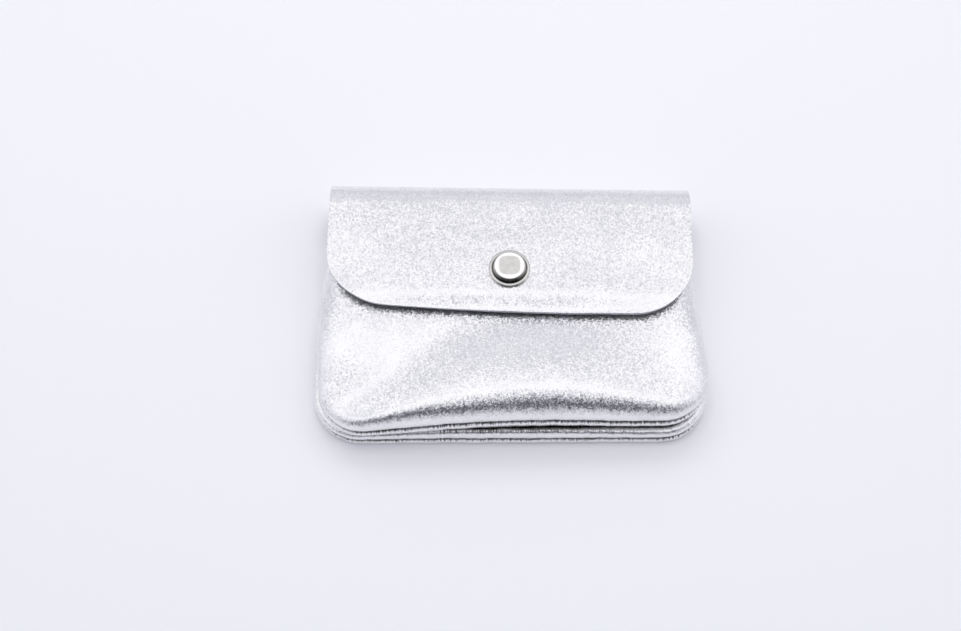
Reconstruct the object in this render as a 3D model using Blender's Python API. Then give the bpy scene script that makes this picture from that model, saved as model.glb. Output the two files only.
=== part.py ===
"""Small soft-leather purse wallet, lying on its back, flap shut by a press stud.

Two turned pockets, one in front of the other, are sewn back to back, so that a third pocket
opens between them. The leather of the back runs on over the fold and becomes the flap.

+X is across the wallet, +Y points from its bottom edge to the fold, +Z is up through it.
The origin is under its centre, on the surface that it lies on.
"""

import math

import bmesh
import bpy
from mathutils import Vector

MM = 0.001

# Overall sizes
BODY_WIDTH = 118.4 * MM  # over the turned edges, at the widest
MOUTH_WIDTH = 110.5 * MM  # over the turned edges, at the pockets' mouths
BODY_LENGTH = 82 * MM  # from the lowest corner to the back of the fold
FLAP_WIDTH = 111.2 * MM
FLAP_REACH = 46.5 * MM  # from the back of the fold to the flap's lower edge

# Leather and the room inside
LEATHER = 1.0 * MM
POCKET_GAP = 4.6 * MM
TOUCH_GAP = 0.3 * MM  # left between pieces that touch

# Outline of the pockets
CORNER_RADIUS = 14 * MM
WIDEST_BELOW_MOUTH = 46 * MM
FRONT_EDGE_DENT = 0.95 * MM  # the front pocket's bottom edge is drawn in at its middle
FRONT_EDGE_SETBACK = 0.9 * MM  # front pocket's edge behind the rear pocket's, all round

# How far the lower half of a pocket is turned about the stud, towards +X
REAR_LEAN_DEG = 1.2
FRONT_LEAN_DEG = 2.7

# Turned edges
TURN_RADIUS = 0.95 * MM  # middle of the leather, where an edge turns into its seam
SEAM_LIP = 3.0 * MM  # seam allowance, inside the pocket
SIDE_ROLL = 8 * MM
DIVIDER_ROLL = 1.6 * MM
FRONT_BOTTOM_ROLL = 9.5 * MM
FRONT_SEAM_LIFT = 1.1 * MM  # the front seam is higher at the middle of the bottom edge
VALLEY_GAP = 1.1 * MM  # between the two pockets, outside the middle seam
MIDDLE_SEAM_INSET = 6 * MM
MIDDLE_POCKET_SPREAD = 9 * MM  # from the middle seam to the middle pocket's full height

# Mouths of the pockets, measured from the back of the fold
FRONT_MOUTH_DROP = 15 * MM
DIVIDER_MOUTH_DROP = 12.5 * MM
SEAM_END_NOTCH = 2.2 * MM

# Front panel's swelling
FRONT_BULGE = 1.3 * MM  # above the panel's height at its mouth
BULGE_ABOVE_EDGE = 11 * MM
BULGE_LENGTH = 17 * MM
STUD_DIMPLE = 1.4 * MM
STUD_SEAT = 7 * MM  # leather is flat this far to each side of the stud
STUD_DIMPLE_SPREAD = 14 * MM  # from the flat seat out to the panel's full height

# Fold and flap, middle of the leather
LOWER_BEND = 7.0 * MM
UPPER_BEND = 9.5 * MM
FOLD_SPARE = 2.1 * MM  # fold's height above the front panel's mouth
FLAP_CORNER = 18 * MM
FLAP_EDGE_BOW = 1.6 * MM  # lower edge is longer at its middle
FLAP_EDGE_SLANT = 1.4 * MM  # lower edge is cut this much lower at +X, and higher at -X
FLAP_EDGE_LIFT = 0.3 * MM  # flap's edge above the height of the fold
FLAP_SIDE_DROOP = 1.6 * MM

# Press stud
STUD_FROM_FOLD = 33 * MM
CAP_RADIUS = 6.2 * MM
CAP_RIM_HEIGHT = 0.6 * MM
CAP_CROWN_RADIUS = 5.2 * MM
CAP_CROWN_HEIGHT = 2.3 * MM
CAP_EDGE_ROUND = 1.2 * MM
SHANK_RADIUS = 1.5 * MM
SHANK_BORE = 0.9 * MM
SHANK_CLEARANCE = 0.35 * MM
CAP_RIM_CURL_DEG = -60  # the brim's edge curls under as far as this
CAP_CROWN_END_DEG = 80  # where the crown's rounded edge meets its nearly flat top
SOCKET_RADIUS = 5.4 * MM
SOCKET_FLOOR = 0.55 * MM
SOCKET_GROOVE_DEPTH = 0.75 * MM
SOCKET_GROOVE_HEIGHT = 0.8 * MM
SOCKET_LIP = 0.35 * MM  # below the groove
SOCKET_CHAMFER = 0.45 * MM
SPRING_WIRE = 0.22 * MM  # radius of the wire
SPRING_BITE = 0.17 * MM  # how far its bars reach in under the stud's head
SPRING_BELOW_HEAD = 0.6 * MM  # middle of the wire below the head's widest part
STUD_BASE_RADIUS = 5.0 * MM
STUD_BASE_HEIGHT = 0.5 * MM
STUD_NECK_RADIUS = 1.95 * MM
STUD_HEAD_RADIUS = 2.42 * MM
STUD_HEAD_ROUND = 0.6 * MM  # top of the head above its widest part
STUD_HEAD_CLEARANCE = 0.63 * MM  # round the head, because the flap swings as it opens
STUD_HOLLOW = 1.3 * MM
POST_RADIUS = 0.95 * MM
POST_FLANGE_RADIUS = 4.3 * MM
POST_FLANGE_HEIGHT = 0.45 * MM
POST_DEPTH_IN_STUD = 1.0 * MM

# Sewing thread
THREAD_RADIUS = 0.2 * MM
MIDDLE_THREAD_RADIUS = 0.25 * MM
THREAD_FROM_EDGE = 0.2 * MM

# Where an edge's roll meets the face
SLOPE_STEP = 0.5 * MM
STEEPEST_SHARE = 0.4  # of the roll's mean slope

# Edges sharper than this stay sharp under smooth shading
SHARP_DEG = 40

# Points nearer than this share of the touching gap are merged
MERGE_SHARE = 0.01

# Mesh density
LOWER_SIDE_ROWS = 3  # between the stud's seat and the corner
CORNER_ROWS = 5
COLUMNS = 12
FLAP_COLUMNS = 14
FLAP_ROWS = 7
FLAP_CORNER_ROWS = 6
BEND_STEPS = 8
ROLL_STEPS = 4
TURN_STEPS = 2
ROUND_STEPS = 32
ARC_STEPS = 4
SPRING_STEPS = 10

# Places that follow from the sizes
LEAN_DROP = math.sin(math.radians(REAR_LEAN_DEG)) * (BODY_WIDTH / 2 - CORNER_RADIUS)
BOTTOM_Y = -BODY_LENGTH / 2 + LEAN_DROP  # rear pocket's bottom edge, before it leans
FOLD_BACK_Y = BODY_LENGTH / 2
FOLD_MIDDLE_Y = FOLD_BACK_Y - LEATHER / 2
FRONT_MOUTH_Y = FOLD_BACK_Y - FRONT_MOUTH_DROP
DIVIDER_MOUTH_Y = FOLD_BACK_Y - DIVIDER_MOUTH_DROP
STUD_Y = FOLD_BACK_Y - STUD_FROM_FOLD

# Heights of the middle of each sheet of leather
BACK_Z = LEATHER / 2
REAR_DIVIDER_Z = BACK_Z + POCKET_GAP + LEATHER
FRONT_DIVIDER_Z = REAR_DIVIDER_Z + POCKET_GAP + LEATHER
FRONT_Z = FRONT_DIVIDER_Z + POCKET_GAP + LEATHER

# Heights at the turned edges: each edge turns through two radii to its seam
LIP_STEP = LEATHER + TOUCH_GAP
BACK_LIP_Z = BACK_Z + 2 * TURN_RADIUS
REAR_DIVIDER_LIP_Z = BACK_LIP_Z + LIP_STEP
REAR_DIVIDER_EDGE_Z = REAR_DIVIDER_LIP_Z + 2 * TURN_RADIUS
MIDDLE_SEAM_Z = REAR_DIVIDER_EDGE_Z + LEATHER / 2 + VALLEY_GAP / 2
FRONT_DIVIDER_EDGE_Z = MIDDLE_SEAM_Z + VALLEY_GAP / 2 + LEATHER / 2
FRONT_DIVIDER_LIP_Z = FRONT_DIVIDER_EDGE_Z + 2 * TURN_RADIUS
FRONT_LIP_Z = FRONT_DIVIDER_LIP_Z + LIP_STEP

# Press stud: the spring lies in the socket's groove, under the stud's head
STUD_HEAD_RISE = TOUCH_GAP + SOCKET_LIP + SOCKET_GROOVE_HEIGHT / 2 + SPRING_BELOW_HEAD
STUD_HEIGHT = STUD_HEAD_RISE + STUD_HEAD_ROUND
SOCKET_HEIGHT = STUD_HEIGHT + SOCKET_FLOOR
SOCKET_BORE = STUD_HEAD_RADIUS + STUD_HEAD_CLEARANCE

# Fold: two quarter bends with a straight rise between them
FOLD_TOP_Z = FRONT_Z + FOLD_SPARE
LOWER_BEND_CENTRE = Vector((0, FOLD_MIDDLE_Y - LOWER_BEND, BACK_Z + LOWER_BEND))
UPPER_BEND_CENTRE = Vector((0, FOLD_MIDDLE_Y - UPPER_BEND, FOLD_TOP_Z - UPPER_BEND))

# A quarter bend lies flat at its true length when it turns about this share of its radius
BEND_AXIS_SHARE = math.pi / 4
LOWER_AXIS = LOWER_BEND_CENTRE + Vector((0, LOWER_BEND, -LOWER_BEND)) * BEND_AXIS_SHARE
UPPER_AXIS = UPPER_BEND_CENTRE + Vector((0, UPPER_BEND, UPPER_BEND)) * BEND_AXIS_SHARE

LEATHER_COLOUR = (0.80, 0.80, 0.82, 1)
NICKEL_COLOUR = (0.62, 0.61, 0.58, 1)
SPRING_COLOUR = (0.70, 0.66, 0.55, 1)
THREAD_COLOUR = (0.72, 0.73, 0.76, 1)


def clear_scene():
    for obj in list(bpy.data.objects):
        bpy.data.objects.remove(obj, do_unlink=True)


def material(name, colour, roughness, metallic):
    made = bpy.data.materials.new(name)
    made.use_nodes = True
    shader = made.node_tree.nodes["Principled BSDF"]
    shader.inputs["Base Color"].default_value = colour
    shader.inputs["Roughness"].default_value = roughness
    shader.inputs["Metallic"].default_value = metallic
    return made


def smoothstep(low, high, value):
    share = min(1.0, max(0.0, (value - low) / (high - low)))
    return share * share * (3 - 2 * share)


def link_object(name, mesh, finish, parent=None):
    obj = bpy.data.objects.new(name, mesh)
    bpy.context.scene.collection.objects.link(obj)
    mesh.materials.append(finish)
    mesh.shade_smooth()
    mesh.set_sharp_from_angle(angle=math.radians(SHARP_DEG))
    if parent:
        obj.parent = parent
        obj.matrix_parent_inverse = parent.matrix_world.inverted()
    return obj


def mesh_from_quads(name, points, quads):
    mesh = bpy.data.meshes.new(name)
    mesh.from_pydata([tuple(p) for p in points], [], quads)
    mesh.validate()
    edit = bmesh.new()
    edit.from_mesh(mesh)
    bmesh.ops.recalc_face_normals(edit, faces=edit.faces)
    edit.to_mesh(mesh)
    edit.free()
    return mesh


def thicken(obj):
    """Gives a sheet the leather's thickness, half to each side."""
    modifier = obj.modifiers.new("leather", "SOLIDIFY")
    modifier.thickness = LEATHER
    modifier.offset = 0
    modifier.use_quality_normals = True
    return obj


def cut_round_hole(obj, radius, centre, height):
    """Cuts an upright round hole for the press stud's shank."""
    mesh = bpy.data.meshes.new(obj.name + "_hole")
    edit = bmesh.new()
    bmesh.ops.create_cone(
        edit, cap_ends=True, segments=ROUND_STEPS // 2, radius1=radius, radius2=radius, depth=height
    )
    edit.to_mesh(mesh)
    edit.free()
    cutter = bpy.data.objects.new(obj.name + "_hole", mesh)
    bpy.context.scene.collection.objects.link(cutter)
    cutter.location = centre
    cutter.hide_render = True
    cutter.display_type = "WIRE"
    modifier = obj.modifiers.new("hole", "BOOLEAN")
    modifier.operation = "DIFFERENCE"
    modifier.object = cutter
    if obj.parent:
        cutter.parent = obj.parent
        cutter.matrix_parent_inverse = obj.parent.matrix_world.inverted()


def middle_share(x, reach):
    """1 at the middle, falling to 0 at a reach to each side."""
    share = min(1.0, abs(x) / reach)
    return (1 - share * share) ** 2


def column_places(half):
    """Places x of the columns across a row, one of them at each side of the stud's seat."""
    steps = COLUMNS // 2 - 1
    right = [STUD_SEAT + (half - STUD_SEAT) * step / steps for step in range(steps + 1)]
    return [-x for x in reversed(right)] + [0] + right


class Pocket:
    """Outline of a turned pocket, and the distance inside it."""

    def __init__(self, mouth_y, setback, dent, lean_deg):
        self.mouth_y = mouth_y
        self.setback = setback
        self.dent = dent
        self.lean = math.radians(lean_deg)
        self.bottom_y = BOTTOM_Y + LEATHER / 2 + setback
        self.half = BODY_WIDTH / 2 - LEATHER / 2 - setback
        self.corner_y = self.bottom_y + CORNER_RADIUS

    def half_width(self, y):
        """Half the width across the turned edges, above the corners."""
        flare = (BODY_WIDTH - MOUTH_WIDTH) / 2
        narrowing = smoothstep(FRONT_MOUTH_Y - WIDEST_BELOW_MOUTH, FOLD_BACK_Y, y)
        return self.half - flare * narrowing

    def edge_rise(self, x):
        """How far the bottom edge is drawn in at x."""
        return self.dent * middle_share(x, self.half - CORNER_RADIUS)

    def side_rows(self):
        """Places y of the rows along a side, from the mouth down to the corner."""
        seat = STUD_Y - STUD_SEAT
        step = (seat - self.corner_y) / LOWER_SIDE_ROWS
        lower = [seat - step * row for row in range(LOWER_SIDE_ROWS)]
        return [self.mouth_y, STUD_Y + STUD_SEAT] + lower

    def left_side(self):
        return [Vector((-self.half_width(y), y)) for y in self.side_rows()]

    def left_corner(self):
        points = []
        for row in range(CORNER_ROWS):
            angle = math.pi / 2 * row / CORNER_ROWS
            x = -(self.half_width(self.corner_y) - CORNER_RADIUS * (1 - math.cos(angle)))
            y = self.corner_y - CORNER_RADIUS * math.sin(angle)
            points.append(Vector((x, y + self.edge_rise(x))))
        return points

    def bottom(self):
        reach = self.half_width(self.corner_y) - CORNER_RADIUS
        return [Vector((x, self.bottom_y + self.edge_rise(x))) for x in column_places(reach)]

    def outline(self):
        """The U from the mouth's left end round to its right end."""
        left = self.left_side() + self.left_corner()
        right = [Vector((-p.x, p.y)) for p in reversed(left)]
        return left + self.bottom() + right

    def inward(self, points):
        """The direction into the pocket at each point of its outline."""
        found = []
        for i in range(len(points)):
            before = points[max(0, i - 1)]
            after = points[min(len(points) - 1, i + 1)]
            along = (after - before).normalized()
            found.append(Vector((-along.y, along.x)))
        return found

    def inside(self, x, y):
        """Distance from the turned edge to a point inside it."""
        from_side = self.half_width(y) - abs(x)
        from_bottom = y - self.bottom_y - self.edge_rise(x)
        if y < self.corner_y and abs(x) > self.half_width(self.corner_y) - CORNER_RADIUS:
            centre = Vector((self.half_width(self.corner_y) - CORNER_RADIUS, self.corner_y))
            return CORNER_RADIUS - (Vector((abs(x), y - self.edge_rise(x))) - centre).length
        return min(from_side, from_bottom)

    def leaned(self, x, y, z):
        """Where a point of the pocket lies: its lower half leans a little to one side."""
        angle = self.lean * smoothstep(STUD_Y - STUD_SEAT, BOTTOM_Y + CORNER_RADIUS, y)
        reach = y - STUD_Y
        new_x = x * math.cos(angle) - reach * math.sin(angle)
        new_y = STUD_Y + x * math.sin(angle) + reach * math.cos(angle)
        return (new_x, new_y, z)


REAR_POCKET = Pocket(DIVIDER_MOUTH_Y, 0, 0, REAR_LEAN_DEG)
FRONT_POCKET = Pocket(DIVIDER_MOUTH_Y, FRONT_EDGE_SETBACK, FRONT_EDGE_DENT, FRONT_LEAN_DEG)


def middle_of_bottom(pocket, x, y):
    """1 at the middle of the bottom edge, falling to 0 at the corners and along the sides."""
    low = 1 - smoothstep(pocket.bottom_y + pocket.dent, pocket.corner_y, y)
    return middle_share(x, pocket.half - CORNER_RADIUS) * low


def front_seam_lift(x, y):
    return FRONT_SEAM_LIFT * middle_of_bottom(FRONT_POCKET, x, y)


def back_height(x, y):
    return BACK_Z


def divider_height(pocket, edge_z, open_z, x, y):
    """Height of a divider: flat along its edge, then apart from the other divider."""
    deep = pocket.inside(x, y) - MIDDLE_SEAM_INSET
    return edge_z + (open_z - edge_z) * smoothstep(0, MIDDLE_POCKET_SPREAD, deep)


def rear_divider_height(x, y):
    return divider_height(REAR_POCKET, REAR_DIVIDER_EDGE_Z, REAR_DIVIDER_Z, x, y)


def front_divider_height(x, y):
    return divider_height(FRONT_POCKET, FRONT_DIVIDER_EDGE_Z, FRONT_DIVIDER_Z, x, y)


def front_height(x, y):
    """Height of the front panel: swollen near the bottom edge, drawn down at the stud."""
    crest_y = FRONT_POCKET.bottom_y + BULGE_ABOVE_EDGE
    bulge = FRONT_BULGE * (1 - smoothstep(0, BULGE_LENGTH, y - crest_y))
    from_seat = max(abs(x), abs(y - STUD_Y)) - STUD_SEAT
    dimple = STUD_DIMPLE * (1 - smoothstep(0, STUD_DIMPLE_SPREAD, from_seat))
    return FRONT_Z + bulge - dimple


def turned_edge(point, inward, height, lip_z, roll):
    """Section through a turned edge at one point of the outline, from the seam lip to the face.

    A round turn leads up from the lip, and an elliptical arc rolls over from there. The arc
    meets the face at the face's own slope.
    """
    start = point + inward * roll
    beyond = start + inward * SLOPE_STEP
    face_z = height(start.x, start.y)
    slope = (height(beyond.x, beyond.y) - face_z) / SLOPE_STEP
    side = 1 if face_z > lip_z else -1
    edge_z = lip_z + side * TURN_RADIUS
    section = [(TURN_RADIUS + SEAM_LIP, lip_z)]
    for step in range(TURN_STEPS):
        angle = math.pi / 2 * (1 - step / TURN_STEPS)
        depth = TURN_RADIUS * (1 - math.cos(angle))
        section.append((depth, edge_z - side * TURN_RADIUS * math.sin(angle)))
    share = min(STEEPEST_SHARE, max(0, slope * roll / (face_z - edge_z)))
    last = math.acos(share / (1 - share))
    for step in range(ROLL_STEPS + 1):
        angle = last * step / ROLL_STEPS
        depth = roll * (1 - math.cos(angle)) / (1 - math.cos(last))
        section.append((depth, edge_z + (face_z - edge_z) * math.sin(angle) / math.sin(last)))
    return [(*(point + inward * depth), z) for depth, z in section]


def panel_grid(inner, points, height):
    """Rows of point numbers that fill a panel inside its turned edges.

    inner holds the numbers round the inside of the edges. Above the corners a row is straight.
    Between the corners the rows bend step by step into the line along the bottom edge.
    """
    rows = (len(inner) - COLUMNS - 1) // 2
    bottom = inner[rows : rows + COLUMNS + 1]
    level_y = points[inner[rows - CORNER_ROWS]][1]
    low_y = points[bottom[0]][1]
    grid = []
    for row in range(rows):
        _, row_y, _ = points[inner[row]]
        half = points[inner[-1 - row]][0]
        share = max(0, (row_y - level_y) / (low_y - level_y))
        line = [inner[row]]
        for column, x in list(enumerate(column_places(half)))[1:-1]:
            y = row_y
            if share:
                y = level_y + (points[bottom[column]][1] - level_y) * share
            line.append(len(points))
            points.append((x, y, height(x, y)))
        grid.append(line + [inner[-1 - row]])
    return grid + [bottom]


def turned_panel(pocket, height, lip_height, roll_at):
    """Points and quads of a panel with its edges turned into the seam on three sides."""
    outline = pocket.outline()
    inward = pocket.inward(outline)
    points, quads, sections = [], [], []
    for point, direction in zip(outline, inward):
        lip_z = lip_height(point.x, point.y)
        section = turned_edge(point, direction, height, lip_z, roll_at(point.x, point.y))
        sections.append(range(len(points), len(points) + len(section)))
        points += section
    for one, other in zip(sections, sections[1:]):
        for k in range(len(one) - 1):
            quads.append((one[k], one[k + 1], other[k + 1], other[k]))
    grid = panel_grid([section[-1] for section in sections], points, height)
    for upper, lower in zip(grid, grid[1:]):
        for column in range(COLUMNS):
            quads.append((upper[column], upper[column + 1], lower[column + 1], lower[column]))
    return [pocket.leaned(*point) for point in points], quads, grid[0]


def front_roll(x, y):
    """The front panel rolls over widely at the middle of its bottom edge."""
    return SIDE_ROLL + (FRONT_BOTTOM_ROLL - SIDE_ROLL) * middle_of_bottom(FRONT_POCKET, x, y)


def make_front_panel(finish):
    pocket = Pocket(FRONT_MOUTH_Y, FRONT_EDGE_SETBACK, FRONT_EDGE_DENT, FRONT_LEAN_DEG)
    points, quads, _ = turned_panel(
        pocket,
        front_height,
        lambda x, y: FRONT_LIP_Z + front_seam_lift(x, y),
        front_roll,
    )
    panel = thicken(link_object("front_panel", mesh_from_quads("front_panel", points, quads), finish))
    hole_z = front_height(0, STUD_Y)
    cut_round_hole(panel, POST_RADIUS + SHANK_CLEARANCE, (0, STUD_Y, hole_z), POCKET_GAP)


def make_dividers(finish):
    for name, pocket, height, lip_height in (
        ("front_divider", FRONT_POCKET, front_divider_height,
         lambda x, y: FRONT_DIVIDER_LIP_Z + front_seam_lift(x, y)),
        ("rear_divider", REAR_POCKET, rear_divider_height, lambda x, y: REAR_DIVIDER_LIP_Z),
    ):
        points, quads, _ = turned_panel(pocket, height, lip_height, lambda x, y: DIVIDER_ROLL)
        thicken(link_object(name, mesh_from_quads(name, points, quads), finish))


def bend_point(centre, radius, angle):
    """A point on a bend, at an angle up from straight behind."""
    return (centre.y + radius * math.cos(angle), centre.z + radius * math.sin(angle))


def lower_bend(low, high, steps):
    """Points (y, z) of the lower bend between two shares of it, from the back up."""
    found = []
    for step in range(steps + 1):
        share = low + (high - low) * step / steps
        found.append(bend_point(LOWER_BEND_CENTRE, LOWER_BEND, math.pi / 2 * (share - 1)))
    return found


def upper_bend(low, high, steps):
    """Points (y, z) of the upper bend between two shares of it, from behind to the flap."""
    found = []
    for step in range(steps + 1):
        share = low + (high - low) * step / steps
        found.append(bend_point(UPPER_BEND_CENTRE, UPPER_BEND, math.pi / 2 * share))
    return found


def half_gap_share(radius):
    """Share of a quarter bend that half the gap at its middle takes."""
    return TOUCH_GAP / 2 / (radius * math.pi / 2)


def make_back_panel(finish):
    """The back, with its edges turned up, and the start of the fold.

    Above the seams its edge runs slanting to the width of the flap.
    """
    points, quads, top = turned_panel(
        REAR_POCKET, back_height, lambda x, y: BACK_LIP_Z, lambda x, y: DIVIDER_ROLL
    )
    middle = 0.5 - half_gap_share(LOWER_BEND)
    stations = [(DIVIDER_MOUTH_Y + SEAM_END_NOTCH, BACK_Z)]
    stations += lower_bend(0, middle, BEND_STEPS // 2)
    below = top
    for y, z in stations:
        line = []
        for column in range(COLUMNS + 1):
            line.append(len(points))
            points.append((FLAP_WIDTH / 2 * (2 * column / COLUMNS - 1), y, z))
        for column in range(COLUMNS):
            quads.append((below[column], line[column], line[column + 1], below[column + 1]))
        below = line
    thicken(link_object("back_panel", mesh_from_quads("back_panel", points, quads), finish))


def hinge_empty(name, place, parent=None):
    empty = bpy.data.objects.new(name, None)
    bpy.context.scene.collection.objects.link(empty)
    empty.location = place
    if parent:
        empty.parent = parent
        empty.matrix_parent_inverse = parent.matrix_world.inverted()
    bpy.context.view_layer.update()
    return empty


def make_fold(finish, hinge):
    """The strip of leather behind the pockets' mouths, between the two bends."""
    section = lower_bend(0.5 + half_gap_share(LOWER_BEND), 1, BEND_STEPS // 2)
    section += upper_bend(0, 0.5 - half_gap_share(UPPER_BEND), BEND_STEPS // 2)
    points, quads = [], []
    for y, z in section:
        for side in (-1, 0, 1):
            points.append((side * FLAP_WIDTH / 2, y, z))
    for row in range(len(section) - 1):
        for column in range(2):
            first = 3 * row + column
            quads.append((first, first + 1, first + 4, first + 3))
    mesh = mesh_from_quads("fold_strip", points, quads)
    thicken(link_object("fold_strip", mesh, finish, hinge))


def stud_stack():
    """Height of the flap's underside above the front panel, at the press stud."""
    return TOUCH_GAP + STUD_BASE_HEIGHT + TOUCH_GAP + SOCKET_HEIGHT + TOUCH_GAP


def front_top_at_stud():
    return front_height(0, STUD_Y) + LEATHER / 2


def flap_height_at_stud():
    return front_top_at_stud() + stud_stack() + LEATHER / 2


def flap_edge_y(x):
    """The lower edge of the flap at x."""
    share = x / (FLAP_WIDTH / 2)
    edge = FOLD_BACK_Y - FLAP_REACH + FLAP_EDGE_BOW * share * share
    return edge - FLAP_EDGE_SLANT * share


def flap_height(x, y):
    """Height of the flap: level at the fold, highest at the stud, drooping at its sides."""
    start_y = UPPER_BEND_CENTRE.y
    edge_y = FOLD_BACK_Y - FLAP_REACH
    lift = flap_height_at_stud() - FOLD_TOP_Z
    from_seat = max(0, abs(y - STUD_Y) - STUD_SEAT)
    if y > STUD_Y:
        share = from_seat / (start_y - STUD_Y - STUD_SEAT)
        tent = lift * (1 - share * share)
    else:
        share = from_seat / (STUD_Y - STUD_SEAT - edge_y)
        tent = lift - (lift - FLAP_EDGE_LIFT) * share * share
    down = smoothstep(0, start_y - edge_y, start_y - y)
    across = max(0, abs(x) - STUD_SEAT) / (FLAP_WIDTH / 2 - STUD_SEAT)
    return FOLD_TOP_Z + tent * (1 - across**2) - FLAP_SIDE_DROOP * across**3 * down


def flap_rows():
    """Shares of the flap's way from the fold to its edge, and the half width at each."""
    straight = UPPER_BEND_CENTRE.y - (FOLD_BACK_Y - FLAP_REACH) - FLAP_CORNER
    rows = []
    for row in range(1, FLAP_ROWS + 1):
        rows.append((straight * row / FLAP_ROWS, FLAP_WIDTH / 2))
    for row in range(1, FLAP_CORNER_ROWS + 1):
        angle = math.pi / 2 * row / FLAP_CORNER_ROWS
        half = FLAP_WIDTH / 2 - FLAP_CORNER * (1 - math.cos(angle))
        rows.append((straight + FLAP_CORNER * math.sin(angle), half))
    whole = straight + FLAP_CORNER
    return [(along / whole, half) for along, half in rows]


def make_flap(finish, hinge):
    points, quads = [], []
    for y, z in upper_bend(0.5 + half_gap_share(UPPER_BEND), 1, BEND_STEPS // 2):
        for column in range(FLAP_COLUMNS + 1):
            points.append((FLAP_WIDTH / 2 * (2 * column / FLAP_COLUMNS - 1), y, z))
    start_y = UPPER_BEND_CENTRE.y
    for along, half in flap_rows():
        for column in range(FLAP_COLUMNS + 1):
            x = half * (2 * column / FLAP_COLUMNS - 1)
            y = start_y + (flap_edge_y(x) - start_y) * along
            points.append((x, y, flap_height(x, y)))
    wide = FLAP_COLUMNS + 1
    for row in range(len(points) // wide - 1):
        for column in range(FLAP_COLUMNS):
            first = wide * row + column
            quads.append((first, first + 1, first + wide + 1, first + wide))
    flap = thicken(link_object("flap", mesh_from_quads("flap", points, quads), finish, hinge))
    hole_z = flap_height_at_stud()
    cut_round_hole(flap, SHANK_RADIUS + SHANK_CLEARANCE, (0, STUD_Y, hole_z), POCKET_GAP)


def turned_piece(name, profile, place, finish, parent=None):
    """A piece turned about its upright axis, from a profile of (radius, height) points.

    A profile runs from the axis to the axis, or else it is a closed ring off the axis.
    """
    mesh = bpy.data.meshes.new(name)
    edit = bmesh.new()
    ring = [edit.verts.new((radius, 0, height)) for radius, height in profile]
    edges = [edit.edges.new((a, b)) for a, b in zip(ring, ring[1:])]
    if profile[0][0] > 0:
        edges.append(edit.edges.new((ring[-1], ring[0])))
    bmesh.ops.spin(
        edit,
        geom=ring + edges,
        cent=(0, 0, 0),
        axis=(0, 0, 1),
        angle=2 * math.pi,
        steps=ROUND_STEPS,
        use_merge=True,
    )
    merge = TOUCH_GAP * MERGE_SHARE
    bmesh.ops.remove_doubles(edit, verts=edit.verts, dist=merge)
    bmesh.ops.dissolve_degenerate(edit, edges=edit.edges, dist=merge)
    bmesh.ops.recalc_face_normals(edit, faces=edit.faces)
    edit.to_mesh(mesh)
    edit.free()
    obj = link_object(name, mesh, finish)
    obj.location = place
    if parent:
        obj.parent = parent
        obj.matrix_parent_inverse = parent.matrix_world.inverted()
    return obj


def arc_points(centre, radii, start, stop, steps):
    """Points on an elliptical arc from one angle to another, in degrees."""
    points = []
    for step in range(steps + 1):
        angle = math.radians(start + (stop - start) * step / steps)
        points.append(
            (centre[0] + radii[0] * math.cos(angle), centre[1] + radii[1] * math.sin(angle))
        )
    return points


def make_cap(finish, hinge):
    """The cap that shows: a thin brim, a cushion-shaped crown, and a hollow shank below."""
    crown_drop = CAP_EDGE_ROUND * (CAP_CROWN_HEIGHT / CAP_CROWN_RADIUS)
    shank_end = -LEATHER - TOUCH_GAP
    profile = [(0, 0), (SHANK_BORE, 0), (SHANK_BORE, shank_end), (SHANK_RADIUS, shank_end)]
    profile += [(SHANK_RADIUS, 0), (CAP_RADIUS - CAP_RIM_HEIGHT / 2, 0)]
    profile += arc_points(
        (CAP_RADIUS - CAP_RIM_HEIGHT / 2, CAP_RIM_HEIGHT / 2),
        (CAP_RIM_HEIGHT / 2, CAP_RIM_HEIGHT / 2), CAP_RIM_CURL_DEG, 90, ARC_STEPS,
    )
    profile.append((CAP_CROWN_RADIUS, CAP_RIM_HEIGHT))
    profile += arc_points(
        (CAP_CROWN_RADIUS - CAP_EDGE_ROUND, CAP_CROWN_HEIGHT - CAP_EDGE_ROUND - crown_drop),
        (CAP_EDGE_ROUND, CAP_EDGE_ROUND), 0, CAP_CROWN_END_DEG, ARC_STEPS,
    )
    profile.append((0, CAP_CROWN_HEIGHT))
    base_z = flap_height_at_stud() + LEATHER / 2 + TOUCH_GAP
    turned_piece("stud_cap", profile, (0, STUD_Y, base_z), finish, hinge)


def socket_top():
    return flap_height_at_stud() - LEATHER / 2 - TOUCH_GAP


def groove_z():
    """Middle of the socket's spring groove."""
    return socket_top() - SOCKET_HEIGHT + SOCKET_LIP + SOCKET_GROOVE_HEIGHT / 2


def make_socket(finish, hinge):
    """The socket under the flap, open below, with a groove for its spring."""
    groove = SOCKET_BORE + SOCKET_GROOVE_DEPTH
    groove_top = -SOCKET_HEIGHT + SOCKET_LIP + SOCKET_GROOVE_HEIGHT
    profile = [
        (SHANK_RADIUS + SHANK_CLEARANCE, 0),
        (SHANK_RADIUS + SHANK_CLEARANCE, -SOCKET_FLOOR),
        (SOCKET_BORE, -SOCKET_FLOOR),
        (SOCKET_BORE, groove_top),
        (groove, groove_top),
        (groove, -SOCKET_HEIGHT + SOCKET_LIP),
        (SOCKET_BORE, -SOCKET_HEIGHT + SOCKET_LIP),
        (SOCKET_BORE + SOCKET_LIP, -SOCKET_HEIGHT),
        (SOCKET_RADIUS - SOCKET_CHAMFER, -SOCKET_HEIGHT),
        (SOCKET_RADIUS, -SOCKET_HEIGHT + SOCKET_CHAMFER),
        (SOCKET_RADIUS, 0),
    ]
    turned_piece("stud_socket", profile, (0, STUD_Y, socket_top()), finish, hinge)


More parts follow.
